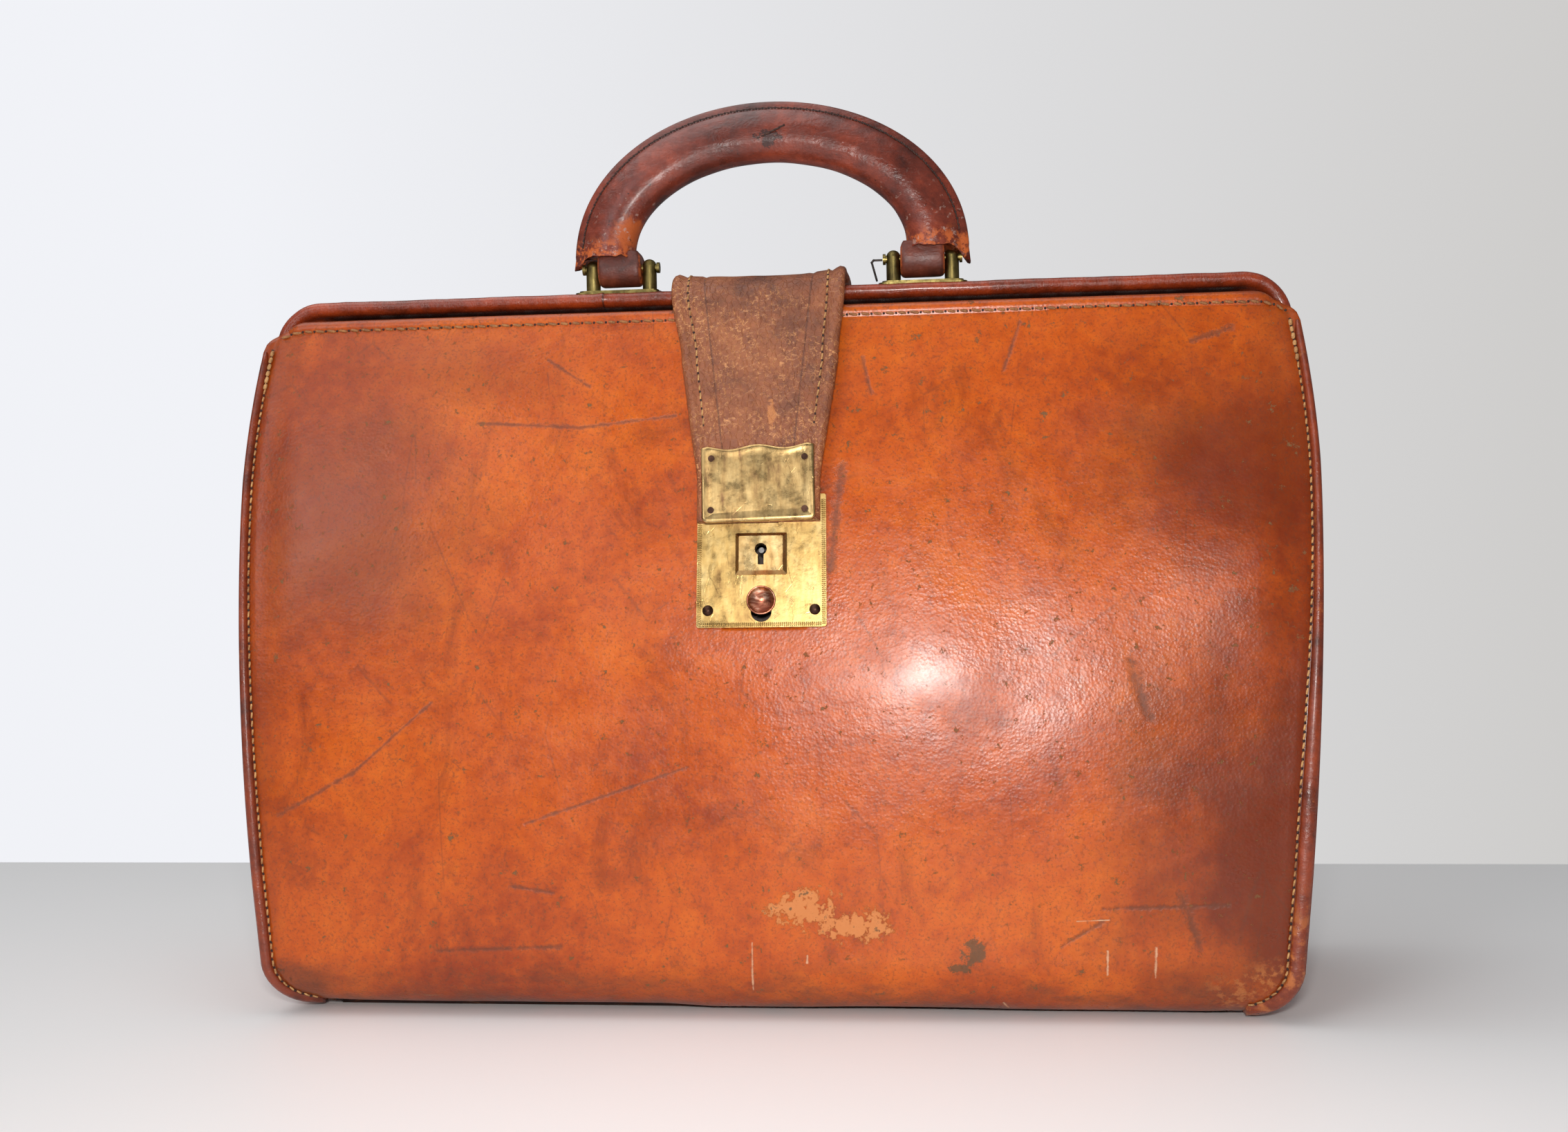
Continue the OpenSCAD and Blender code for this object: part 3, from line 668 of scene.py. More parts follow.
def handle_finish():
    """Hand-polished dark red leather with raw orange at its torn ends."""
    s = Shade("handle_leather")
    s.dye((150, 66, 44), (110, 46, 32), (62, 28, 22), 26.0)
    ends = s.both(s.band(s.z, 0.3185, 0.3105), s.cloud(0.46, 0.56, 240, 6, 0.7))
    scuff = s.both(s.spot((-0.058, -0.004, 0.3175), (0.012, 0.02, 0.008), 0.5, 0.8, 150), 0.9)
    raw = s.any(ends, scuff)
    s.paint(raw, (188, 92, 40))
    s.paint(s.both(s.cloud(0.6, 0.66, 300, 5, 0.7), s.band(s.z, 0.35, 0.315), 0.6), (176, 150, 138))
    s.paint(s.both(s.flake((0.0005, -0.004, 0.3555), (0.0105, 0.02, 0.0055)), 0.8), (34, 20, 18))
    rough = s.add(s.gloss(0.26, 0.42, 80, 5), s.both(raw, 0.3))
    return s.finish(rough, s.leather(760, PORES, 0.5), Specular_IOR_Level=0.42, Coat_Weight=0.1,
                    Coat_Roughness=0.2)


def loop_finish():
    """Dark red leather with orange where its edges are rubbed."""
    s = Shade("loop_leather")
    s.dye((128, 60, 40), (100, 44, 30), (70, 32, 24), 60.0)
    from_middle = s.size_of(s.calc("SUBTRACT", s.size_of(s.x), CHAPE_X * MM))
    s.paint(s.both(s.band(from_middle, 0.0082, 0.0092), s.cloud(0.4, 0.55, 400, 4, 0.7)), (176, 86, 42))
    return s.finish(s.gloss(0.38, 0.52, 140, 4), s.leather(1000, 0.00015, 0.4))


def suede_finish():
    """The flesh side of the hide."""
    s = Shade("suede_side")
    s.dye((176, 118, 72), (152, 98, 60), (120, 76, 48), 60.0)
    fluff = s.noise(900, 4, 0.7)
    return s.finish(s.band(fluff, 0.3, 0.7, 0.75, 0.95), s.bump(fluff, 0.0004, 0.6), Sheen_Weight=0.2)


def dark_base_finish():
    """Dark leather scratched along the bag."""
    s = Shade("base_leather")
    s.dye((84, 42, 26), (58, 30, 20), (34, 20, 16), 40.0)
    s.paint(s.both(s.cracks(60, 0.02, (0.3, 1, 1)), s.cloud(0.48, 0.6, 60, 4), 0.6), (150, 96, 62))
    return s.finish(s.gloss(0.45, 0.7, 90, 5), s.leather(700, PORES, 0.7))


def lining_finish():
    """Drab woven cotton."""
    s = Shade("lining_cloth")
    threads = 5200.0
    warp = s.both(s.add(s.x, s.y), threads)
    waves = [s.node("ShaderNodeMath", {0: way}, operation="SINE").outputs[0]
             for way in (warp, s.both(s.z, threads))]
    weave = s.both(*waves)
    s.dye((158, 140, 110), (136, 118, 90), (104, 88, 66), 22.0)
    s.paint(s.band(weave, -1, 1, 0.0, 0.22), (84, 70, 52))
    return s.finish(0.92, s.bump(weave, 0.0002, 0.5), Sheen_Weight=0.3)


def board_finish():
    """Brown fibreboard."""
    s = Shade("fibreboard", cad=True)
    fibres = s.noise(260, 6, 0.7, (1, 3, 1))
    s.ramp(fibres, (0.35, (96, 72, 50)), (0.65, (142, 112, 80)))
    return s.finish(s.band(fibres, 0.3, 0.7, 0.75, 0.9), s.bump(fibres, 0.0002, 0.6))


def thread_finish(name, light, dark):
    """Twisted, soiled linen thread."""
    s = Shade(name)
    twist = s.noise(1500, 3, 0.6)
    s.ramp(s.add(s.both(twist, 0.4), s.both(s.noise(90, 5, 0.7), 0.6)), (0.38, dark), (0.6, light))
    return s.finish(s.band(twist, 0.3, 0.7, 0.6, 0.8), s.bump(twist, 0.0002, 0.7))


def hole_shade_finish():
    """Painted shade of a needle hole, for the small bead that stands in for it."""
    s = Shade("needle_hole_shade")
    grain = s.noise(800, 3)
    s.ramp(grain, (0.3, (26, 12, 8)), (0.7, (58, 26, 16)))
    return s.finish(s.band(grain, 0.3, 0.7, 0.6, 0.85))


def brass_finish(name, light, middle, dark, cad=True, streak=0.5, rough=(0.24, 0.44), tarnish=0.5):
    """Old lacquered brass with brown tarnish and vertical wear."""
    s = Shade(name, cad)
    rows = s.both(s.noise(90, 6, 0.65, (3.2, 3.2, 0.5)), streak)
    s.ramp(s.add(rows, s.both(s.noise(70, 6, 0.65), 1 - streak)), (0.34, dark), (0.48, middle), (0.64, light))
    freckle = s.both(s.cloud(0.6, 0.68, 520, 5, 0.7), s.cloud(0.44, 0.6, 90, 4), tarnish)
    s.paint(freckle, (70, 46, 30))
    scratch = s.both(s.cracks(240, 0.02, (1, 1, 0.2)), s.cloud(0.5, 0.62, 110, 3))
    gloss = s.add(s.gloss(*rough, 160, 5, 0.65), s.both(freckle, 0.25))
    height = s.calc("SUBTRACT", s.noise(700, 4, 0.7), scratch)
    return s.finish(gloss, s.bump(height, 0.00006, 0.6), Metallic=1.0)


def copper_finish(name, cad):
    """Rubbed red copper."""
    s = Shade(name, cad)
    swirl = s.noise(150, 5, 0.6, (1, 1, 2.5), 1.4)
    s.ramp(swirl, (0.35, (126, 66, 52)), (0.52, (182, 118, 92)), (0.66, (226, 186, 162)))
    return s.finish(s.band(swirl, 0.3, 0.7, 0.3, 0.42), s.bump(s.noise(600, 4), 0.00005, 0.6), Metallic=1.0)


def steel_finish(name, light, dark, rust=0.4):
    """Dull steel with spots of rust."""
    s = Shade(name, cad=True)
    value = s.noise(130, 6, 0.65)
    s.ramp(value, (0.35, dark), (0.65, light))
    spots = s.both(s.cloud(0.58, 0.66, 380, 5, 0.7), rust)
    s.paint(spots, (96, 56, 36))
    rough = s.add(s.band(value, 0.3, 0.7, 0.32, 0.5), s.both(spots, 0.3))
    return s.finish(rough, s.bump(s.noise(500, 4), 0.00008, 0.6), Metallic=1.0)


finish = {
    "front": front_leather_finish(),
    "tan": plain_tan_finish(),
    "welt": welt_finish(),
    "rail": rail_finish(),
    "strap": strap_finish(),
    "handle": handle_finish(),
    "loop": loop_finish(),
    "suede": suede_finish(),
    "base": dark_base_finish(),
    "lining": lining_finish(),
    "board": board_finish(),
    "thread": thread_finish("light_thread", (206, 158, 100), (128, 82, 46)),
    "top_thread": thread_finish("top_thread", (176, 118, 66), (96, 56, 32)),
    "dark_thread": thread_finish("dark_thread", (74, 44, 32), (30, 18, 14)),
    "hole": hole_shade_finish(),
    "plate": brass_finish("brass_plate", (212, 184, 126), (190, 156, 96), (142, 110, 68)),
    "plate_edge": brass_finish("brass_edge", (206, 178, 118), (160, 126, 72), (88, 64, 38), cad=False),
    "hasp": brass_finish("brass_hasp", (206, 176, 122), (178, 146, 96), (128, 96, 68), cad=False,
                         streak=0.75, tarnish=0.6),
    "boss": brass_finish("brass_boss", (218, 192, 138), (188, 152, 98), (130, 94, 64), tarnish=0.4),
    "old": brass_finish("old_brass", (158, 142, 88), (116, 102, 60), (64, 56, 36), rough=(0.34, 0.55)),
    "rivet": steel_finish("rivet_dark", (92, 66, 54), (34, 24, 22), rust=0.5),
    "copper": copper_finish("copper", cad=True),
    "copper_ring": copper_finish("copper_ring", cad=False),
    "steel": steel_finish("steel", (150, 148, 146), (88, 86, 86)),
    "wire": steel_finish("wire", (70, 62, 58), (34, 30, 30)),
}
# ---- Leather panels ----

PANEL_TOP = 279.2
CORNER_RUN = 14.0
CORNER_DROP = 10.0
PANEL_THICK = 2.6
SEAM_PITCH = 3.4
SEAM_TOP = 268
WELT_TOP = 269


def panel_rows():
    """Heights of the rows of a panel's grid, from the keel to below the top corners."""
    keel = [KEEL_Z + KEEL_R * sin(radians(a)) for a in range(-90, 1, 9)]
    rise = [KEEL_Z + (236 - KEEL_Z) * k / 84 for k in range(1, 85)]
    return keel + rise


def corner_top(across, top):
    """Height of a panel's top edge, at a share of the half width from the middle."""
    reach = (1 - abs(across)) * 212
    if reach >= CORNER_RUN:
        return top
    return top - CORNER_DROP * (1 - arc(1, (CORNER_RUN - reach) / CORNER_RUN))


def panel_points(place, top, columns, upper):
    """A panel's grid of points, wide rows that follow the outline."""
    points = []
    shares = [sin(pi / 2 * (2 * c / (columns - 1) - 1) * 0.82) for c in range(columns)]
    shares = [s / shares[-1] for s in shares]
    heights = panel_rows()
    for z in heights:
        points += [place(s * edge_x(z), z) for s in shares]
    for k in range(1, upper + 1):
        for s in shares:
            z = heights[-1] + (corner_top(s, top) - heights[-1]) * k / upper
            points.append(place(s * edge_x(z), z))
    return points, grid_faces(len(heights) + upper, columns)


def seam_press(x, z):
    """Depth to which the side stitching presses the leather in."""
    inside = edge_x(z) - abs(x) - welt_width(x, z)
    return -0.55 * bell(inside - 0.8, 1.5) - 0.35 * bell(inside - 6, 7)


def over_lock_case(corners):
    """True for a face in the opening that the lock's case fills."""
    x = sum(c[0] for c in corners) / 4 - LOCK_X
    up = (sum(c[2] for c in corners) / 4 - LOCK_Z) / cos(LOCK_LEAN)
    return abs(x) < 17.5 and -24.5 < up < 24.5


def front_sewn(x, z):
    """A point on the front leather, pressed in by the side stitching."""
    return front_point(x, z, seam_press(x, z))


def back_sewn(x, z):
    """The same on the back leather."""
    return back_point(x, z, seam_press(x, z))


def front_leather():
    """The front panel, open where the lock's case goes through it."""
    points, faces = panel_points(front_sewn, PANEL_TOP, 205, 20)
    faces = [f for f in faces if not over_lock_case([points[k] for k in f])]
    piece = make_piece("front_leather", points, faces, "front", "suede")
    thicken(piece, PANEL_THICK)
    return enlist(piece, "tan_leather", None, "front_panel", "front_panel_top")


def back_leather():
    """The back panel."""
    points, faces = panel_points(back_sewn, PANEL_TOP + 1.5, 121, 14)
    piece = make_piece("back_leather", points, [f[::-1] for f in faces], "tan", "suede")
    thicken(piece, PANEL_THICK)
    enlist(piece, "tan_leather", "case", "back_panel")


def outline_path(low=-78, high=SEAM_TOP, step=3.0):
    """Places and outward directions along one side of the outline, from the foot up to a height."""
    path = []
    for a in range(low, 1, 6):
        c, s = cos(radians(a)), sin(radians(a))
        path.append((FOOT_X + FOOT_R * c, FOOT_R + FOOT_R * s, c, s))
    rise = min(high, SHOULDER_Z) - FOOT_R
    count = int(rise / step)
    for k in range(1, count + 1):
        z = FOOT_R + rise * k / count
        path.append((half_w(z), z, *outward(half_w, z)))
    return path


# Section of the welt, as (share of its width in from the outline, height off the panel)
WELT_SECTION = [
    (1.0, -0.7), (0.95, 0.1), (0.84, 0.85), (0.66, 1.3), (0.45, 1.45), (0.25, 1.25), (0.08, 0.6),
    (0.0, -0.4), (0.02, -1.4), (0.16, -2.2), (0.45, -2.6), (1.0, -2.4),
]


def welt_width(side, z):
    """The folded edge is widest low down, above all on the right."""
    return 3.3 + (2.7 if side > 0 else 1.0) * smooth(190, 70, z)


def welt_ring(place, side, x, z, nx, nz):
    """One section of the welt, on the panel that place gives."""
    ring = []
    wide = welt_width(side, z)
    for share, out in WELT_SECTION:
        inset = share * wide
        px, py, pz = place(side * (x - nx * inset), z - nz * inset, out)
        ring.append((px, py, max(pz, 0.25)))
    return ring


def welts(name, place, outwards):
    """Both folded side seams of a panel, as one mesh."""
    points, faces = [], []
    count = len(WELT_SECTION)
    for side in SIDES:
        start = len(points)
        path = outline_path(high=WELT_TOP)
        for k, (x, z, nx, nz) in enumerate(path):
            swell = 0.25 * ripple(x, z, 9, side * 4.0)
            grow = min(1.0, (len(path) - 1 - k) / 3 + 0.35)
            ring = welt_ring(place, side, x, z, nx, nz)
            middle = Vector(ring[4])
            points += [tuple(middle + (Vector(p) - middle) * grow * (1 + 0.12 * swell)) for p in ring]
        part = grid_faces(len(path), count, closed=True, start=start) + caps(start, len(points), count)
        faces += part if side * outwards > 0 else [f[::-1] for f in part]
    return make_piece(name, points, faces, "welt")


def seam_paths(place, out=0.05, high=SEAM_TOP):
    """Stitch lines along both side seams."""
    paths = []
    for side in SIDES:
        path = []
        for x, z, nx, nz in outline_path(high=high, step=2.0):
            inset = welt_width(side, z) + 0.75
            spot = place(side * (x - nx * inset), z - nz * inset, out)
            path.append((spot[0], spot[1], max(spot[2], 1.0)))
        paths.append(path)
    return paths


def gusset(side):
    """One end of the bag: a sheet that folds inwards between the two jaws."""
    path = outline_path(low=-84, high=WELT_TOP, step=3.5)
    across = 33
    points = []
    for x, z, nx, nz in path:
        tuck = 0.9 + 1.8 * smooth(250, 266, z)
        half = half_d(z) - 0.6
        centre = (HINGE_Y - (z - HINGE_Z) * tan(LEAN)) / 2
        depth = 8.5 * smooth(HINGE_Z, 262, z)
        slack = 1.1 * ripple(z, side * 40, 60, 2.5)
        for k in range(across):
            v = 2 * k / (across - 1) - 1
            y = v * half if z < HINGE_Z else centre + (v * half - centre) * (0.55 + 0.45 * abs(v) ** 0.7)
            fold = depth * max(0.0, 1 - abs(y - centre) / (2.5 + 0.12 * max(0.0, z - HINGE_Z))) ** 1.2
            dish = 1.6 * smooth(30, 120, z) * (1 - smooth(190, 230, z)) + slack * smooth(20, 60, z)
            soft = 0.5 * ripple(y * 1.5, z, 26, side * 3.3) * (1 - abs(v) ** 6)
            inset = tuck + fold + (1 - v * v) * dish - soft
            points.append((side * (x - nx * inset), y, max(z - nz * inset, 0.4)))
    word = SIDES[side]
    faces = grid_faces(len(path), across)
    if side > 0:
        faces = [f[::-1] for f in faces]
    piece = make_piece("gusset_sheet_" + word, points, faces, "tan", "suede")
    flip_if_needed(piece, side)
    thicken(piece, 1.8)
    return enlist(piece, "tan_leather", None, "gusset_" + word, "gusset_top_" + word)


def flip_if_needed(piece, side):
    """Turns a gusset's faces so that they look away from the bag."""
    total = sum(p.normal.x * p.area for p in piece.data.polygons)
    if total * side < 0:
        piece.data.flip_normals()


def build_leather():
    """Panels, gussets and seams; the back and its seams ride on the case."""
    tops = [path[-9:] for path in seam_paths(front_point, 0.25, WELT_TOP)]
    folding = [
        front_leather(), gusset(-1), gusset(1),
        enlist(welts("front_welts", front_point, 1), "dark_leather", None,
               "welt_front_left", "welt_front_right", "welt_front_top"),
        stitches("front_seam_stitches", seam_paths(front_point, 0.05, 259), SEAM_PITCH),
        stitches("front_corner_knots", tops, 3.0, (1.25, 0.85, 0.8)),
    ]
    for piece in folding:
        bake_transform(piece)
    back_leather()
    enlist(welts("back_welts", back_point, -1), "dark_leather", "case", "welt_back_left", "welt_back_right")
    stitches("back_seam_stitches", seam_paths(back_point), SEAM_PITCH, up=BACKWARDS, body="case")


def base_sheet():
    """The leather under the bag, a little cupped."""
    columns, rows = 81, 25
    half_x, half_y = FOOT_X - 1.0, KEEL_Y - 0.3
    top, under = [], []
    for r in range(rows):
        for c in range(columns):
            u, v = 2 * c / (columns - 1) - 1, 2 * r / (rows - 1) - 1
            x, y = u * half_x, v * half_y
            cup = 0.5 * (1 - u ** 6) * (1 - v ** 4) * (1 + ripple(x, y, 60, 6.6))
            under.append((x, y, 0.02 + cup))
            top.append((x, y, 2.9 + 0.1 * ripple(x, y, 40, 3.0)))
    shift = len(under)
    faces = [f[::-1] for f in grid_faces(rows, columns)] + grid_faces(rows, columns, start=shift)
    rim = list(range(columns)) + [r * columns + columns - 1 for r in range(1, rows)]
    rim += [(rows - 1) * columns + c for c in range(columns - 2, -1, -1)]
    rim += [r * columns for r in range(rows - 2, 0, -1)]
    for a, b in zip(rim, rim[1:] + rim[:1]):
        faces.append((a, b, b + shift, a + shift))
    enlist(make_piece("base_sheet", under + top, faces, "base"), "dark_leather", "case", "base_leather")


def lining_shell():
    """Cloth inside the case: a floor and four walls that bag a little."""
    around = 120
    floor_rings = [(0.02, 7.4), (0.3, 7.4), (0.6, 7.5), (0.85, 7.6), (0.95, 8.0)]
    rings = [[lining_point(turn, z, share, 24) for turn in turns(around)] for share, z in floor_rings]
    walls = [9.5, 12, 16, 21] + [26 + 5.5 * k for k in range(33)]
    for z in [w for w in walls if w < 204] + [203.5]:
        rings.append([lining_point(turn, z, 1.0, z) for turn in turns(around)])
    points = [p for ring in rings for p in ring]
    faces = grid_faces(len(rings), around, closed=True) + [tuple(range(around))]
    piece = make_piece("lining_cloth", points, [f[::-1] for f in faces], "lining", "lining")
    thicken(piece, 0.7)
    enlist(piece, "lining", "case", "lining")


def lining_point(turn, z, share, form_z):
    """One point of the lining, on a squarish loop inside the leather."""
    c, s = cos(turn), sin(turn)
    span = max(abs(c), abs(s))
    x, y = c / span, s / span
    round_off = 1 - 0.03 * (min(abs(x), abs(y)) ** 8)
    loose = 0.9 + 0.9 * ripple(x * 200, z + y * 60, 34, 9.0)
    px = x * (edge_x(max(form_z, 10)) - 5.0 - loose) * share * round_off
    py = y * (half_d(max(form_z, 10)) - 4.6 - loose) * share * round_off
    if y < 0:
        py += 8.5 * smooth(31, 21, abs(px - LOCK_X)) * smooth(140, 152, z) * abs(y)
    return (px, py, z + (0.5 * ripple(x * 100, y * 50, 8, 4.4) if share < 1 else 0.0))


build_leather()
base_sheet()
lining_shell()

# ---- Rail and binding ----

# Section of the rail, as (inset from the outline, y): a roll in front of a deeper body
RAIL_SECTION = [
    (5.3, -3.4), (5.0, -5.8), (3.7, -7.5), (2.0, -8.1), (0.6, -7.9), (-0.5, -7.0), (-0.9, -5.9), (-0.5, -4.9),
    (0.0, -4.2), (0.0, 4.0), (0.0, 12.0), (0.5, 14.2), (1.7, 15.9), (3.2, 16.8), (5.0, 17.0), (9.0, 16.9),
    (11.6, 16.4), (11.9, 14.0), (11.9, 6.0), (11.9, 1.5), (11.2, 0.5), (9.0, 0.2), (7.0, -0.4), (5.8, -1.6),
]


def hoop_path(low_z, step=4.0):
    """Places and outward directions over the top of the outline, from the left side to the right."""
    heights = [low_z + 3.0 * k for k in range(int((SHOULDER_Z - low_z) / 3) + 1)]
    right = [(half_w(z), z, 1.0, 0.0) for z in heights if z < SHOULDER_Z - 1]
    bend = SHOULDER_R - 3
    for a in range(0, 91, 6):
        c, s = cos(radians(a)), sin(radians(a))
        right.append((SHOULDER_X + 3 + bend * c, SHOULDER_Z + 3 + bend * s, c, s))
    left = [(-x, z, -nx, nz) for x, z, nx, nz in right]
    count = int(2 * SHOULDER_X / step)
    flat = [(-SHOULDER_X + 2 * SHOULDER_X * k / count, RAIL_TOP, 0.0, 1.0) for k in range(1, count)]
    flat += [(-70.5, RAIL_TOP, 0.0, 1.0), (-69.9, RAIL_TOP, 0.0, 1.0)]
    return left + sorted(flat) + right[::-1]


def rail_roll():
    """The rail's leather, with a lap at its seam and small dents."""
    rings = []
    for x, z, nx, nz in hoop_path(262):
        lap = 0.3 if -72 < x < -70 else 0.0
        dent = 0.22 * ripple(x, z, 16, 5.5) + 0.15 * ripple(x, z, 5, 1.5)
        end = 1.0 if z > 268 else 0.8
        ring = []
        for inset, y in RAIL_SECTION:
            roll = 1 if y < -2.5 and inset < 7.2 else 0
            depth = inset * end + (1 - end) * 6 - lap * roll + dent * roll
            ring.append((x - nx * depth, y - lap * roll, z - nz * depth))
        rings.append(ring)
    enlist(sweep("rail_roll", rings, "rail"), "dark_leather", "case", "rear_rail")


def binding_path():
    """Line of the top stitching across the front, dropping at both corners."""
    path = []
    count = 150
    for k in range(count + 1):
        u = sin(pi / 2 * (2 * k / count - 1) * 0.9)
        u /= sin(pi / 2 * 0.9)
        z = corner_top(u * 0.985, STITCH_Z)
        path.append((u * 0.975 * (edge_x(z) - 0.5), z))
    return path


# Section of the folded strip over the front jaw, as (up from the stitch line, y)
STRIP_SECTION = [
    (-3.0, -19.2), (-2.0, -19.8), (-0.9, -20.3), (-0.2, -20.1), (0.5, -20.4), (1.8, -20.4), (3.2, -20.0),
    (4.1, -19.0), (4.5, -17.6), (4.4, -15.4), (3.6, -13.6), (2.2, -12.3), (0.0, -11.5), (-3.5, -10.4),
    (-7.5, -9.1), (-7.7, -9.9), (-4.0, -12.2), (0.2, -13.4), (1.9, -15.0), (1.9, -17.0),
    (0.8, -18.6), (-0.8, -19.2),
]


def top_strip():
    """Leather folded over the front jaw above its stitch line."""
    path = binding_path()
    rings = []
    for k, (x, z) in enumerate(path):
        dx, dz = heading(path, k)
        shift = half_d(z) - half_d(STITCH_Z)
        soft = 0.18 * ripple(x, z, 11, 2.9)
        full = smooth(-1.5, 9, min(k, len(path) - 1 - k))
        ring = []
        for up, y in STRIP_SECTION:
            rise = up * full * (1 + 0.1 * soft)
            ring.append((x - dz * rise, -17 + (y + 17) * full - shift + soft * (y < -15), z + dx * rise))
        rings.append(ring)
    enlist(sweep("jaw_strip", rings, "front"), "tan_leather", "front_jaw", "front_binding")
    line = [(x, -(half_d(z) + 0.6), z - 0.1) for x, z in path[1:-1]]
    stitches("jaw_stitches", [line], 5.0, (1.75, 0.62, 0.6), "top_thread", body="front_jaw")


def lean(x, y, z):
    """A point of the upright jaw, leaned forwards."""
    dy, dz = y - HINGE_Y, z - HINGE_Z
    c, s = cos(LEAN), sin(LEAN)
    return (x, HINGE_Y + dy * c - dz * s, HINGE_Z + dy * s + dz * c)


def frame_sleeve():
    """Thin leather glued round the front jaw's steel frame."""
    rings = []
    for x, z, nx, nz in hoop_path(246, 6.0):
        ring = []
        for k, turn in enumerate(turns(16)):
            inset = 9.9 - 2.1 * squarish(cos(turn), 0.5)
            inset += 0.12 * ripple(x + 7 * k, z, 9, 0.6)
            ring.append(lean(x - nx * inset, HINGE_Y + 3.4 * squarish(sin(turn), 0.5), z - nz * inset))
        rings.append(ring)
    enlist(sweep("frame_sleeve", rings, "tan"), "tan_leather", "front_jaw")


def corner_tabs():
    """Stitched leather ends that stand up behind both corners of the rail."""
    foot = 277
    for side, word in SIDES.items():
        rings = []
        for k in range(11):
            u = k / 10
            x = side * (189.5 + 14.0 * u)
            top = 292.6 - 5.2 * u ** 1.7
            half = 1.5 * sqrt(max(0.05, 1 - (2 * u - 1) ** 4))
            ring = []
            for turn in turns(14):
                tall = (top - foot) / 2 * squarish(sin(turn), 0.35) * (0.8 + 0.2 * half / 1.5)
                z = (top + foot) / 2 + tall
                ring.append((x, 19.0 + half * cos(turn) + 0.3 * ripple(x, z, 4, 3.0), z))
            rings.append(ring)
        enlist(sweep("corner_tab_" + word, rings, "welt"), "dark_leather", "case", "corner_tabs")
        line = [(side * (192 + 9 * u / 4), 17.3, 289.6 - 0.5 * u) for u in range(5)]
        stitches("tab_stitches_" + word, [line], 2.8, (0.9, 0.4, 0.4), body="case")


rail_roll()
top_strip()
frame_sleeve()
corner_tabs()

# ---- Strap and hasp ----


def on_lock(u, v, n):
    """A point given in the lock's own plane: along the bag, up the plate, outwards."""
    y = LOCK_Y + v * sin(LOCK_LEAN) - n * cos(LOCK_LEAN)
    return (LOCK_X + u, y, LOCK_Z + v * cos(LOCK_LEAN) + n * sin(LOCK_LEAN))


STRAP_T = 3.8
BEND_Z = 281.2
BEND_R = 13.6
STRAP_OUT = 3.85
STITCH_INSET = 5.0
FACE_COLUMNS = 45


def strap_line():
    """Middle line of the strap from its rivets on the back, over the rail and down to the hasp, as (y, z)."""
    end = [on_lock(0, v, STRAP_OUT)[1:] for v in (49, 46, 43, 38, 32, 26, 20, 15.2)]
    foot = (half_d(204) + 2.6, 204.0)
    first = radians(12.5)
    top = (13 + BEND_R * cos(first), BEND_Z + BEND_R * sin(first))
    line = [(foot[0] + (top[0] - foot[0]) * k / 24, foot[1] + (top[1] - foot[1]) * k / 24) for k in range(24)]
    for k in range(13):
        a = radians(12.5 + 77.5 * k / 12)
        line.append((13 + BEND_R * cos(a), BEND_Z + BEND_R * sin(a)))
    line += [(13 - 23.5 * k / 6, BEND_Z + BEND_R) for k in range(1, 6)]
    for k in range(13):
        a = radians(90 + 72.8 * k / 12)
        line.append((-10.5 + BEND_R * cos(a), BEND_Z + BEND_R * sin(a)))
    a, b = line[-1], end[0]
    line += [(a[0] + (b[0] - a[0]) * k / 26, a[1] + (b[1] - a[1]) * k / 26) for k in range(1, 26)]
    return line + end


def strap_half(z):
    """Half width of the strap at height z."""
    if z > 258:
        return 31.7 + 4.1 * smooth(258, 290, z)
    return 24.4 + 7.3 * (max(0.0, z - 212) / 46) ** 0.95


def strap_ring(y, z, dy, dz, front):
    """One closed section of the strap: its face, folded edges and back."""
    half = strap_half(z)
    centre = -1.5 - 1.3 * smooth(255, 290, z) * (1 if front else 0.4)
    ring = []
    for k in range(FACE_COLUMNS):
        x = (2 * k / (FACE_COLUMNS - 1) - 1) * (half - 0.7)
        edge = half - abs(x)
        lift = STRAP_T / 2 - 0.9 * bell(edge - STITCH_INSET, 0.9) - 0.5 * smooth(1.9, 0.5, edge)
        lift -= 0.5 * bell(edge - (12 + 1.6 * smooth(215, 285, z)), 0.9)
        lift += 0.35 * bell(edge - 2.6, 1.5) + 0.22 * ripple(x, z, 7, 1.1)
        ring.append((x, lift))
    ring += [(half, 0.6), (half, -0.6)]
    for k in range(9):
        ring.append(((half - 0.7) * (1 - 2 * k / 8), -STRAP_T / 2 + 0.2 * abs(1 - 2 * k / 8) ** 8))
    ring += [(-half, -0.6), (-half, 0.6)]
    curl = smooth(272, 292, z) if front else 0.4 * smooth(272, 292, z)
    points = []
    for x, lift in ring:
        share = abs(x) / half
        raise_z = curl * (share ** 4) * (2.4 if x > 0 else 1.1) - curl * 0.5 * (1 - share ** 2)
        wave = 0.5 * ripple(x, z * 0.6, 30, 4.2) * (0.4 + share)
        off = lift + wave * smooth(222, 240, z)
        points.append((centre + x, y - dz * off, z + dy * off + raise_z))
    return points


def strap_rings(line):
    """The strap's sections along its middle line."""
    rings = []
    for k, (y, z) in enumerate(line):
        dy, dz = heading(line, k)
        rings.append(strap_ring(y, z, -dy, -dz, y < 0))
    return rings


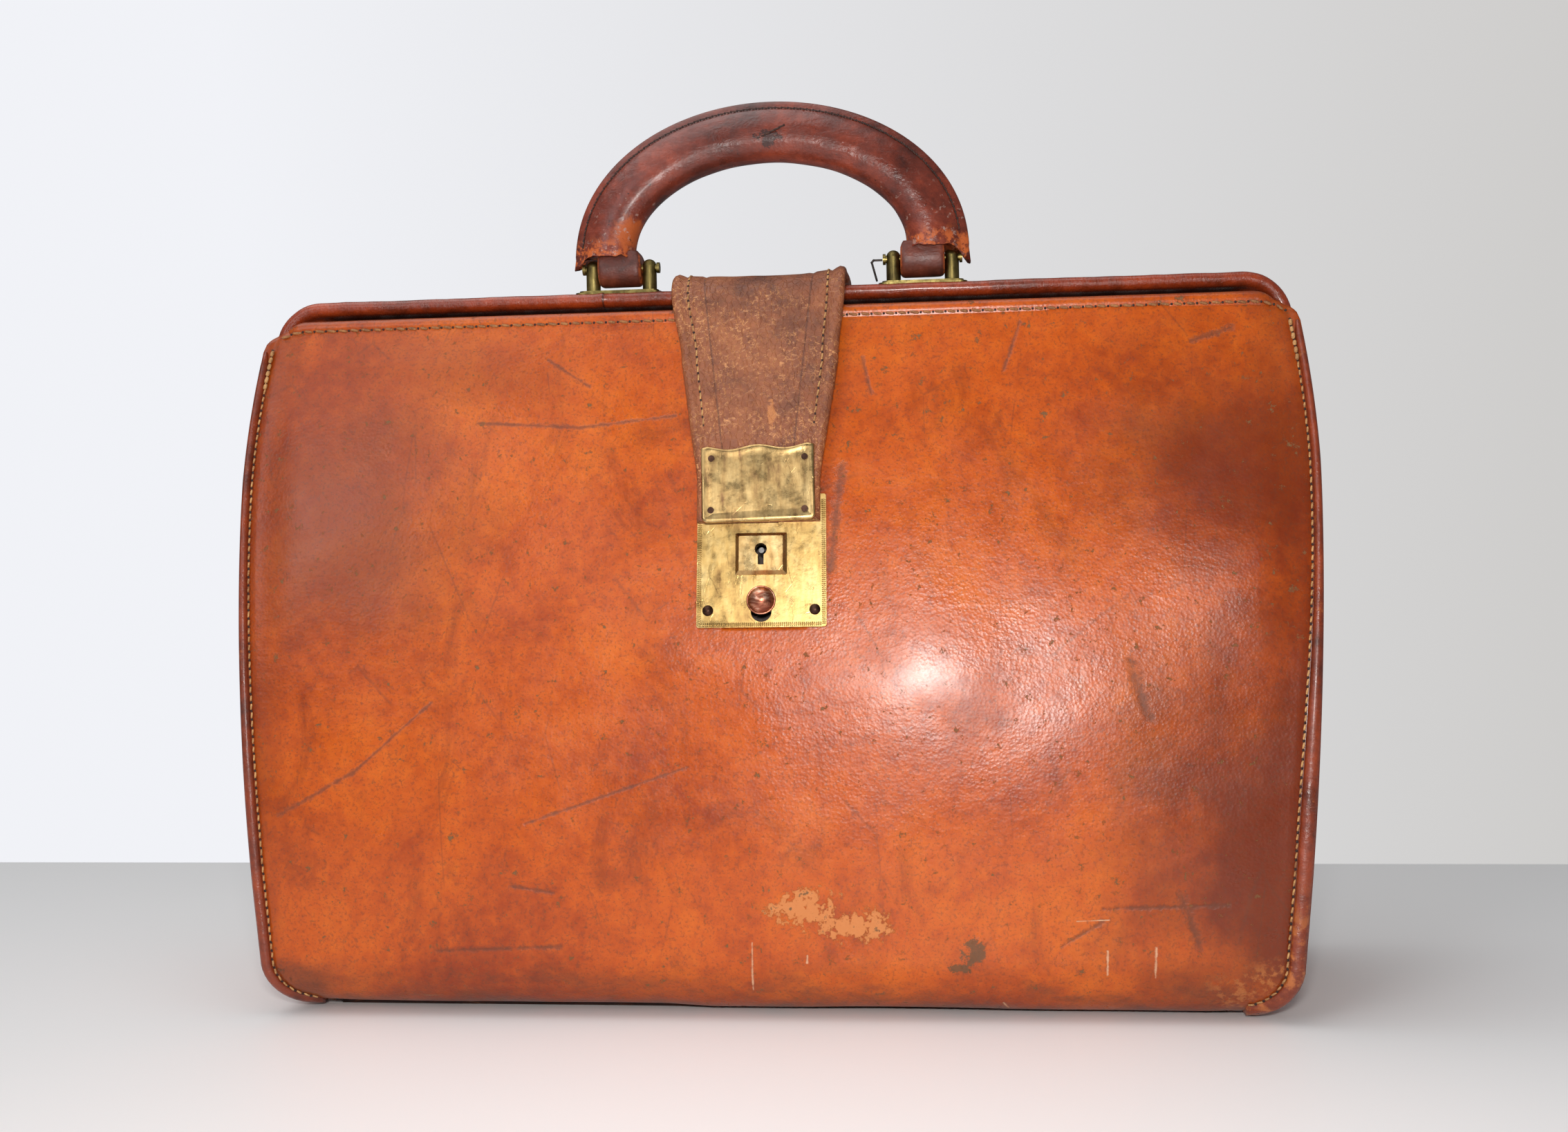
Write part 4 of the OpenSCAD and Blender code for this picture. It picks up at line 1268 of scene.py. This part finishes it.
def strap():
    """The strap in two lengths that share a section."""
    line = strap_line()
    rings = strap_rings(line)
    cut = len(line) - 18
    upper = sweep("strap_over_rail", rings[:cut + 1], "strap", capped=False)
    lower = sweep("strap_flap", rings[cut:], "strap", capped=False)
    close_end(upper, 0, len(rings[0]))
    close_end(lower, len(rings[cut:]) - 1, len(rings[0]))
    enlist(upper, "strap_leather", None, "strap_back", "strap_front")
    enlist(lower, "strap_leather", None, "strap_end")
    front_start = next(k for k, (y, z) in enumerate(line) if y < -4)
    rows = {}
    for name, part, up, body in (
            ("strap_stitches", rings[front_start:cut + 1], FORWARDS, None),
            ("flap_stitches", rings[cut:-9], FORWARDS, None),
            ("strap_back_stitches", rings[1:22], BACKWARDS, "case")):
        paths = [[ring[k] for ring in part] for k in stitch_columns(rings[0])]
        rows[name] = stitches(name, paths, 3.6, (1.25, 0.42, 0.42), up=up, body=body)
    for piece in (upper, rows["strap_stitches"]):
        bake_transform(piece)
    for piece in (lower, rows["flap_stitches"]):
        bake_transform(piece)


def stitch_columns(ring):
    """The two points of a section that lie in the stitch channels."""
    face = [p[0] for p in ring[:FACE_COLUMNS]]
    ends = (min(p[0] for p in ring) + STITCH_INSET, max(p[0] for p in ring) - STITCH_INSET)
    return [min(range(FACE_COLUMNS), key=lambda k: abs(face[k] - x)) for x in ends]


def close_end(piece, ring, count):
    """Closes one open end of a swept tube with a strip of faces."""
    mesh = piece.data
    start = ring * count
    faces = [tuple(p.vertices) for p in mesh.polygons]
    a, b = 0, count - 1
    while b - a > 2:
        faces.append((start + a, start + a + 1, start + b - 1, start + b))
        a, b = a + 1, b - 1
    fresh = bpy.data.meshes.new(mesh.name + "_closed")
    fresh.from_pydata([tuple(v.co) for v in mesh.vertices], [], faces)
    fresh.materials.append(mesh.materials[0])
    fresh.update()
    fresh.shade_smooth()
    keep_rest(fresh)
    piece.data = fresh


def hasp_outline(inset):
    """The hasp plate's edge: rounded lower corners and two dips along its top."""
    left, width, low, high, r = -23.5, 45.0, 14.8, 45.8, 2.2
    points = []
    for cx, first in ((left + r, 180), (left + width - r, 270)):
        for k in range(7):
            a = radians(first + 90 * k / 6)
            points.append((cx + (r - inset) * cos(a), low + r + (r - inset) * sin(a)))
    for k in range(41):
        u = 1 - k / 40
        corner = 0.9 * (bell((1 - u) * width, 1.3) + bell(u * width, 1.3))
        dip = 0.85 * (1 - cos(4 * pi * u)) - 0.25
        x = left + inset + (width - 2 * inset) * u
        points.append((x, high - inset - dip - corner))
    return points


def hasp_plate():
    """Thick brass plate with rubbed, rounded edges, tilted a little on its strap."""
    c, s = cos(radians(1.2)), sin(radians(1.2))
    steps = [(0.35, 5.62), (0.0, 5.9), (0.0, 6.6), (0.25, 7.0), (0.8, 7.22), (1.5, 7.26), (2.3, 7.1),
             (4.5, 7.05)]
    rings = []
    for inset, n in steps:
        ring = []
        for u, v in hasp_outline(inset):
            du, dv = u + 1.0, v - 30
            worn = 0.05 * ripple(u, v, 5, 7.0)
            ring.append(on_lock(-1.0 + du * c - dv * s, 30 + du * s + dv * c, n + worn))
        rings.append(ring)
    enlist(sweep("hasp_cover", rings, "hasp"), "brass", "hasp", "hasp_plate")


def milled_border():
    """Fine ridges along three edges of the lock plate."""
    points, faces = [], []
    out = (Vector(on_lock(0, 0, 1)) - Vector(on_lock(0, 0, 0))).normalized()
    along_u = Vector((1, 0, 0))
    along_v = (Vector(on_lock(0, 1, 0)) - Vector(on_lock(0, 0, 0))).normalized()
    pitch = 0.78
    for k in range(int(49 / pitch)):
        pill(points, faces, Vector(on_lock(-24.3 + pitch * k, -25.4, 1.82)), along_v, out, (0.85, 0.27, 0.26))
    for k in range(int(50 / pitch)):
        for u in (-24.5, 24.5):
            pill(points, faces, Vector(on_lock(u, -25.2 + pitch * k, 1.82)), along_u, out, (0.8, 0.27, 0.26))
    enlist(make_piece("milled_border", points, faces, "plate_edge"), "brass", "case")


def button_ring():
    """Turned rim round the foot of the button."""
    rings = []
    for t in turns(40):
        ring = []
        for a in turns(8):
            r = 5.35 + 0.42 * cos(a)
            ring.append(on_lock(r * cos(t), -15.9 + r * sin(t), 2.45 + 0.36 * sin(a)))
        rings.append(ring)
    enlist(sweep("button_ring", rings + [rings[0]], "copper_ring", capped=False), "copper", "button")


strap()
hasp_plate()
milled_border()
button_ring()

# ---- Handle ----

ARCH_HALF = CHAPE_X + 6
ARCH_RISE = 50.0
ARCH_Z = PIN_Z + 5.5
GRIP_SEAM = 9.9


def grip_half(p):
    """Half thickness of the grip, from front to back, at a place across its section."""
    if p < -3:
        return 9.2 * arc(1, (p + 3) / 9.3)
    return 9.2 * (1 - (min(15.4, p + 3) / 17.2) ** 1.9)


def grip_section():
    """The grip's section as (outwards in the arch's plane, y): full inside, pinched to a seam outside."""
    inner = [-12.3 + 9.3 * (1 - cos(pi / 2 * k / 7)) for k in range(8)]
    outer = [-3 + 1.9 * k for k in range(1, 7)] + [9.6, 10.3, 11.0, 12.0, 12.9, 13.3]
    front = []
    for p in inner + outer:
        pinch = 0.8 * bell(p - GRIP_SEAM, 1.0)
        y = grip_half(p) - pinch if p < 13 else 0.9
        front.append((p, -max(y, 0.02 if p < -12.2 else 0.9)))
    return front + [(p, -y) for p, y in front[::-1][:-1]]


def ragged(side, p, y):
    """How far the torn end of the grip hangs below its arch."""
    tear = 1.5 + 1.5 * ripple(p * 3, y * 3, 9, side * 2.0) + 0.7 * ripple(p * 9, y * 9, 9, 6.0)
    tongue = (6.0 if side > 0 else 4.2) * smooth(6.5, 12.5, p)
    return max(0.2, tear + tongue)


def arch_ring(t, section, flare=0.0, drop=0.0, side=0):
    """One section of the grip at angle t of its arch, dropped to a torn end if asked."""
    centre = Vector((ARCH_HALF * cos(t), 0, ARCH_RISE * sin(t)))
    out = Vector((ARCH_RISE * cos(t), 0, ARCH_HALF * sin(t))).normalized()
    ring = []
    for p, y in section:
        grow = 1 + flare
        lump = 0.16 * ripple(p + t * 60, y, 12, 4.0)
        spot = centre + out * (p * grow + lump * (p < 9))
        z = ARCH_Z + spot.z
        if drop:
            z -= drop * ragged(side, p, y)
        ring.append((spot.x, HINGE_Y + y * grow, z))
    return ring


def handle_grip():
    """Leather of the grip, with hollow torn ends, its seam and an old mend."""
    section = grip_section()
    steps = 84
    rings = [arch_ring(0, section, 0.06 * s + 0.01, s, 1) for s in (1.0, 0.6, 0.2)]
    for k in range(steps + 1):
        rings.append(arch_ring(pi * k / steps, section, 0.03 * exp(-min(k, steps - k) / 2.5)))
    rings += [arch_ring(pi, section, 0.06 * s + 0.01, s, -1) for s in (0.2, 0.6, 1.0)]
    hollow = []
    for ring in (rings[0], rings[-1]):
        cx = sum(p[0] for p in ring) / len(ring)
        hollow.append([(cx + (p[0] - cx) * 0.84, HINGE_Y + (p[1] - HINGE_Y) * 0.8, p[2] + 2.5) for p in ring])
    grip = sweep("grip_leather", [hollow[0]] + rings + [hollow[1]], "handle")
    enlist(grip, "handle_leather", "handle", "handle_grip")
    for name, face, up in (("grip_stitches_front", -1, FORWARDS), ("grip_stitches_back", 1, BACKWARDS)):
        y = face * (grip_half(GRIP_SEAM) - 0.2)
        row = [arch_ring(pi * k / steps, [(GRIP_SEAM, y)])[0] for k in range(2, steps - 1)]
        stitches(name, [row], 2.7, (0.85, 0.33, 0.33), "dark_thread", up, "handle_leather", "handle")
    mend = [(-6.5 + 1.2 * k, HINGE_Y - 8.4 - 0.15 * k, 354.2 + 0.5 * k) for k in range(12)]
    stitches("grip_mend", [mend], 2.2, (1.0, 0.4, 0.5), "dark_thread", FORWARDS, "handle_leather", "handle")


def handle_loop(side):
    """Leather tongue that comes out of the grip and goes round the pin."""
    rings = []
    half = 9.3
    for k in range(25):
        x = half * sin(pi / 2 * (2 * k / 24 - 1))
        edge = max(0.0, (abs(x) - (half - 2.2)) / 2.2)
        shrink = 1.9 * (1 - arc(1, edge))
        ring = []
        for j in range(25):
            a = pi * (1 + j / 24)
            r = 7.9 - shrink + 0.12 * ripple(x, j * 3, 6, side * 2.0)
            ring.append((side * CHAPE_X + x, HINGE_Y + r * 0.92 * cos(a), PIN_Z - 0.1 + r * sin(a)))
        for face, ups in ((1, (2.0, 4.0, 5.5, 6.6)), (-1, (6.6, 5.5, 4.0, 2.0))):
            for up in ups:
                narrow = 1 - 0.004 * up - 0.03 * max(0.0, up - 4) ** 1.4
                depth = (7.27 - shrink * 0.6) * (1 - 0.02 * up)
                ring.append((side * CHAPE_X + x * narrow, HINGE_Y + face * depth, PIN_Z + up))
        rings.append(ring)
    loop = sweep("loop_leather_" + SIDES[side], rings, "loop")
    enlist(loop, "handle_leather", "handle", "handle_loop_" + SIDES[side])


handle_grip()
handle_loop(-1)
handle_loop(1)

# ---- Finishes of the CAD's own parts ----

CAD_FINISHES = {
    "board": ("base_board",),
    "plate": ("lock_plate", "lock_slider", "hasp_staple"),
    "boss": ("keyhole_boss",),
    "old": ("chape_plate_left", "chape_plate_right", "chape_posts_left", "chape_posts_right",
            "handle_pin_left", "handle_pin_right", "strap_anchor_rivets", "frame_hinge_pins"),
    "rivet": ("lock_rivets", "hasp_rivets"),
    "copper": ("lock_button",),
    "steel": ("key_post", "lock_backing_plate", "chape_nuts", "rear_frame", "front_frame", "handle_core"),
    "wire": ("bent_wire", "lock_case", "slider_spring", "catch_spring", "key_bolt"),
}
for key, names in CAD_FINISHES.items():
    for name in names:
        mesh = nodes[name].data
        mesh.materials.clear()
        mesh.materials.append(finish[key])

# ---- Floor, light and camera ----


def floor():
    """Pale plane from in front of the bag to close behind it."""
    near, far, wide = -2.2, 0.25, 3.0
    mesh = bpy.data.meshes.new("floor")
    mesh.from_pydata([(-wide, near, 0), (wide, near, 0), (wide, far, 0), (-wide, far, 0)], [], [(0, 1, 2, 3)])
    s = Shade("floor_paint", cad=True)
    patches = s.band(s.noise(3, 3), 0.2, 0.8, 0.0, 0.05)
    s.colour = s.blend(patches, (0.9, 0.9, 0.9, 1), (0.7, 0.7, 0.7, 1))
    mesh.materials.append(s.finish(0.5))
    link("floor", mesh)


def area_light(name, place, target, size, power, colour=(1, 1, 1)):
    """A soft rectangular light that looks at a target."""
    light = bpy.data.lights.new(name, "AREA")
    light.shape = "RECTANGLE"
    light.size, light.size_y = size
    light.energy = power
    light.color = colour
    lamp = link(name, light)
    lamp.location = place
    lamp.rotation_euler = (Vector(target) - Vector(place)).to_track_quat("-Z", "Y").to_euler()


def world():
    """Soft pale light all round, and a backdrop for the camera that greys to the right, as painted shade."""
    sky = bpy.data.worlds.new("studio")
    sky.use_nodes = True
    tree = sky.node_tree
    back = tree.nodes["Background"]
    back.inputs["Color"].default_value = (0.86, 0.87, 0.9, 1)
    back.inputs["Strength"].default_value = 0.2
    seen = tree.nodes.new("ShaderNodeBackground")
    way = tree.nodes.new("ShaderNodeTexCoord")
    split = tree.nodes.new("ShaderNodeSeparateXYZ")
    fade = tree.nodes.new("ShaderNodeMapRange")
    fade.inputs["From Min"].default_value = -0.4
    fade.inputs["From Max"].default_value = 0.35
    # Painted shade: the white backdrop darkens from left to right.
    shade = tree.nodes.new("ShaderNodeMix")
    shade.data_type = "RGBA"
    shade.inputs[6].default_value = (0.88, 0.89, 0.93, 1)
    shade.inputs[7].default_value = (0.62, 0.61, 0.6, 1)
    tree.links.new(way.outputs["Generated"], split.inputs[0])
    tree.links.new(split.outputs["X"], fade.inputs["Value"])
    tree.links.new(fade.outputs[0], shade.inputs[0])
    tree.links.new(shade.outputs[2], seen.inputs["Color"])
    seen.inputs["Strength"].default_value = 1.0
    rays = tree.nodes.new("ShaderNodeLightPath")
    mix = tree.nodes.new("ShaderNodeMixShader")
    tree.links.new(rays.outputs["Is Camera Ray"], mix.inputs[0])
    tree.links.new(back.outputs[0], mix.inputs[1])
    tree.links.new(seen.outputs[0], mix.inputs[2])
    tree.links.new(mix.outputs[0], tree.nodes["World Output"].inputs["Surface"])
    bpy.context.scene.world = sky


def camera():
    """Level camera a little to the right, level with the lock."""
    data = bpy.data.cameras.new("camera")
    data.sensor_width = 36
    data.lens = 36.35
    data.shift_x = 0.0066
    data.shift_y = -0.0088
    eye = link("camera", data)
    turn = Matrix.Rotation(radians(5.6), 4, "Z") @ Matrix.Rotation(radians(90), 4, "X")
    roll = Matrix.Rotation(-0.018, 4, "Z")
    eye.matrix_world = Matrix.Translation((0.065, -0.667, 0.181)) @ turn @ roll
    bpy.context.scene.camera = eye


floor()
world()
area_light("flash", (0.065, -0.69, 0.266), (0.03, 0, 0.15), (0.075, 0.05), 2.75, (1, 0.98, 0.95))
area_light("window", (-0.68, -1.05, 0.74), (0, 0, 0.15), (0.5, 0.6), 3.0, (0.93, 0.96, 1))
area_light("ceiling", (-0.45, -0.25, 1.7), (-0.2, -0.1, 0), (1.6, 1.6), 17.0)
camera()
bpy.context.scene.view_settings.view_transform = "Standard"
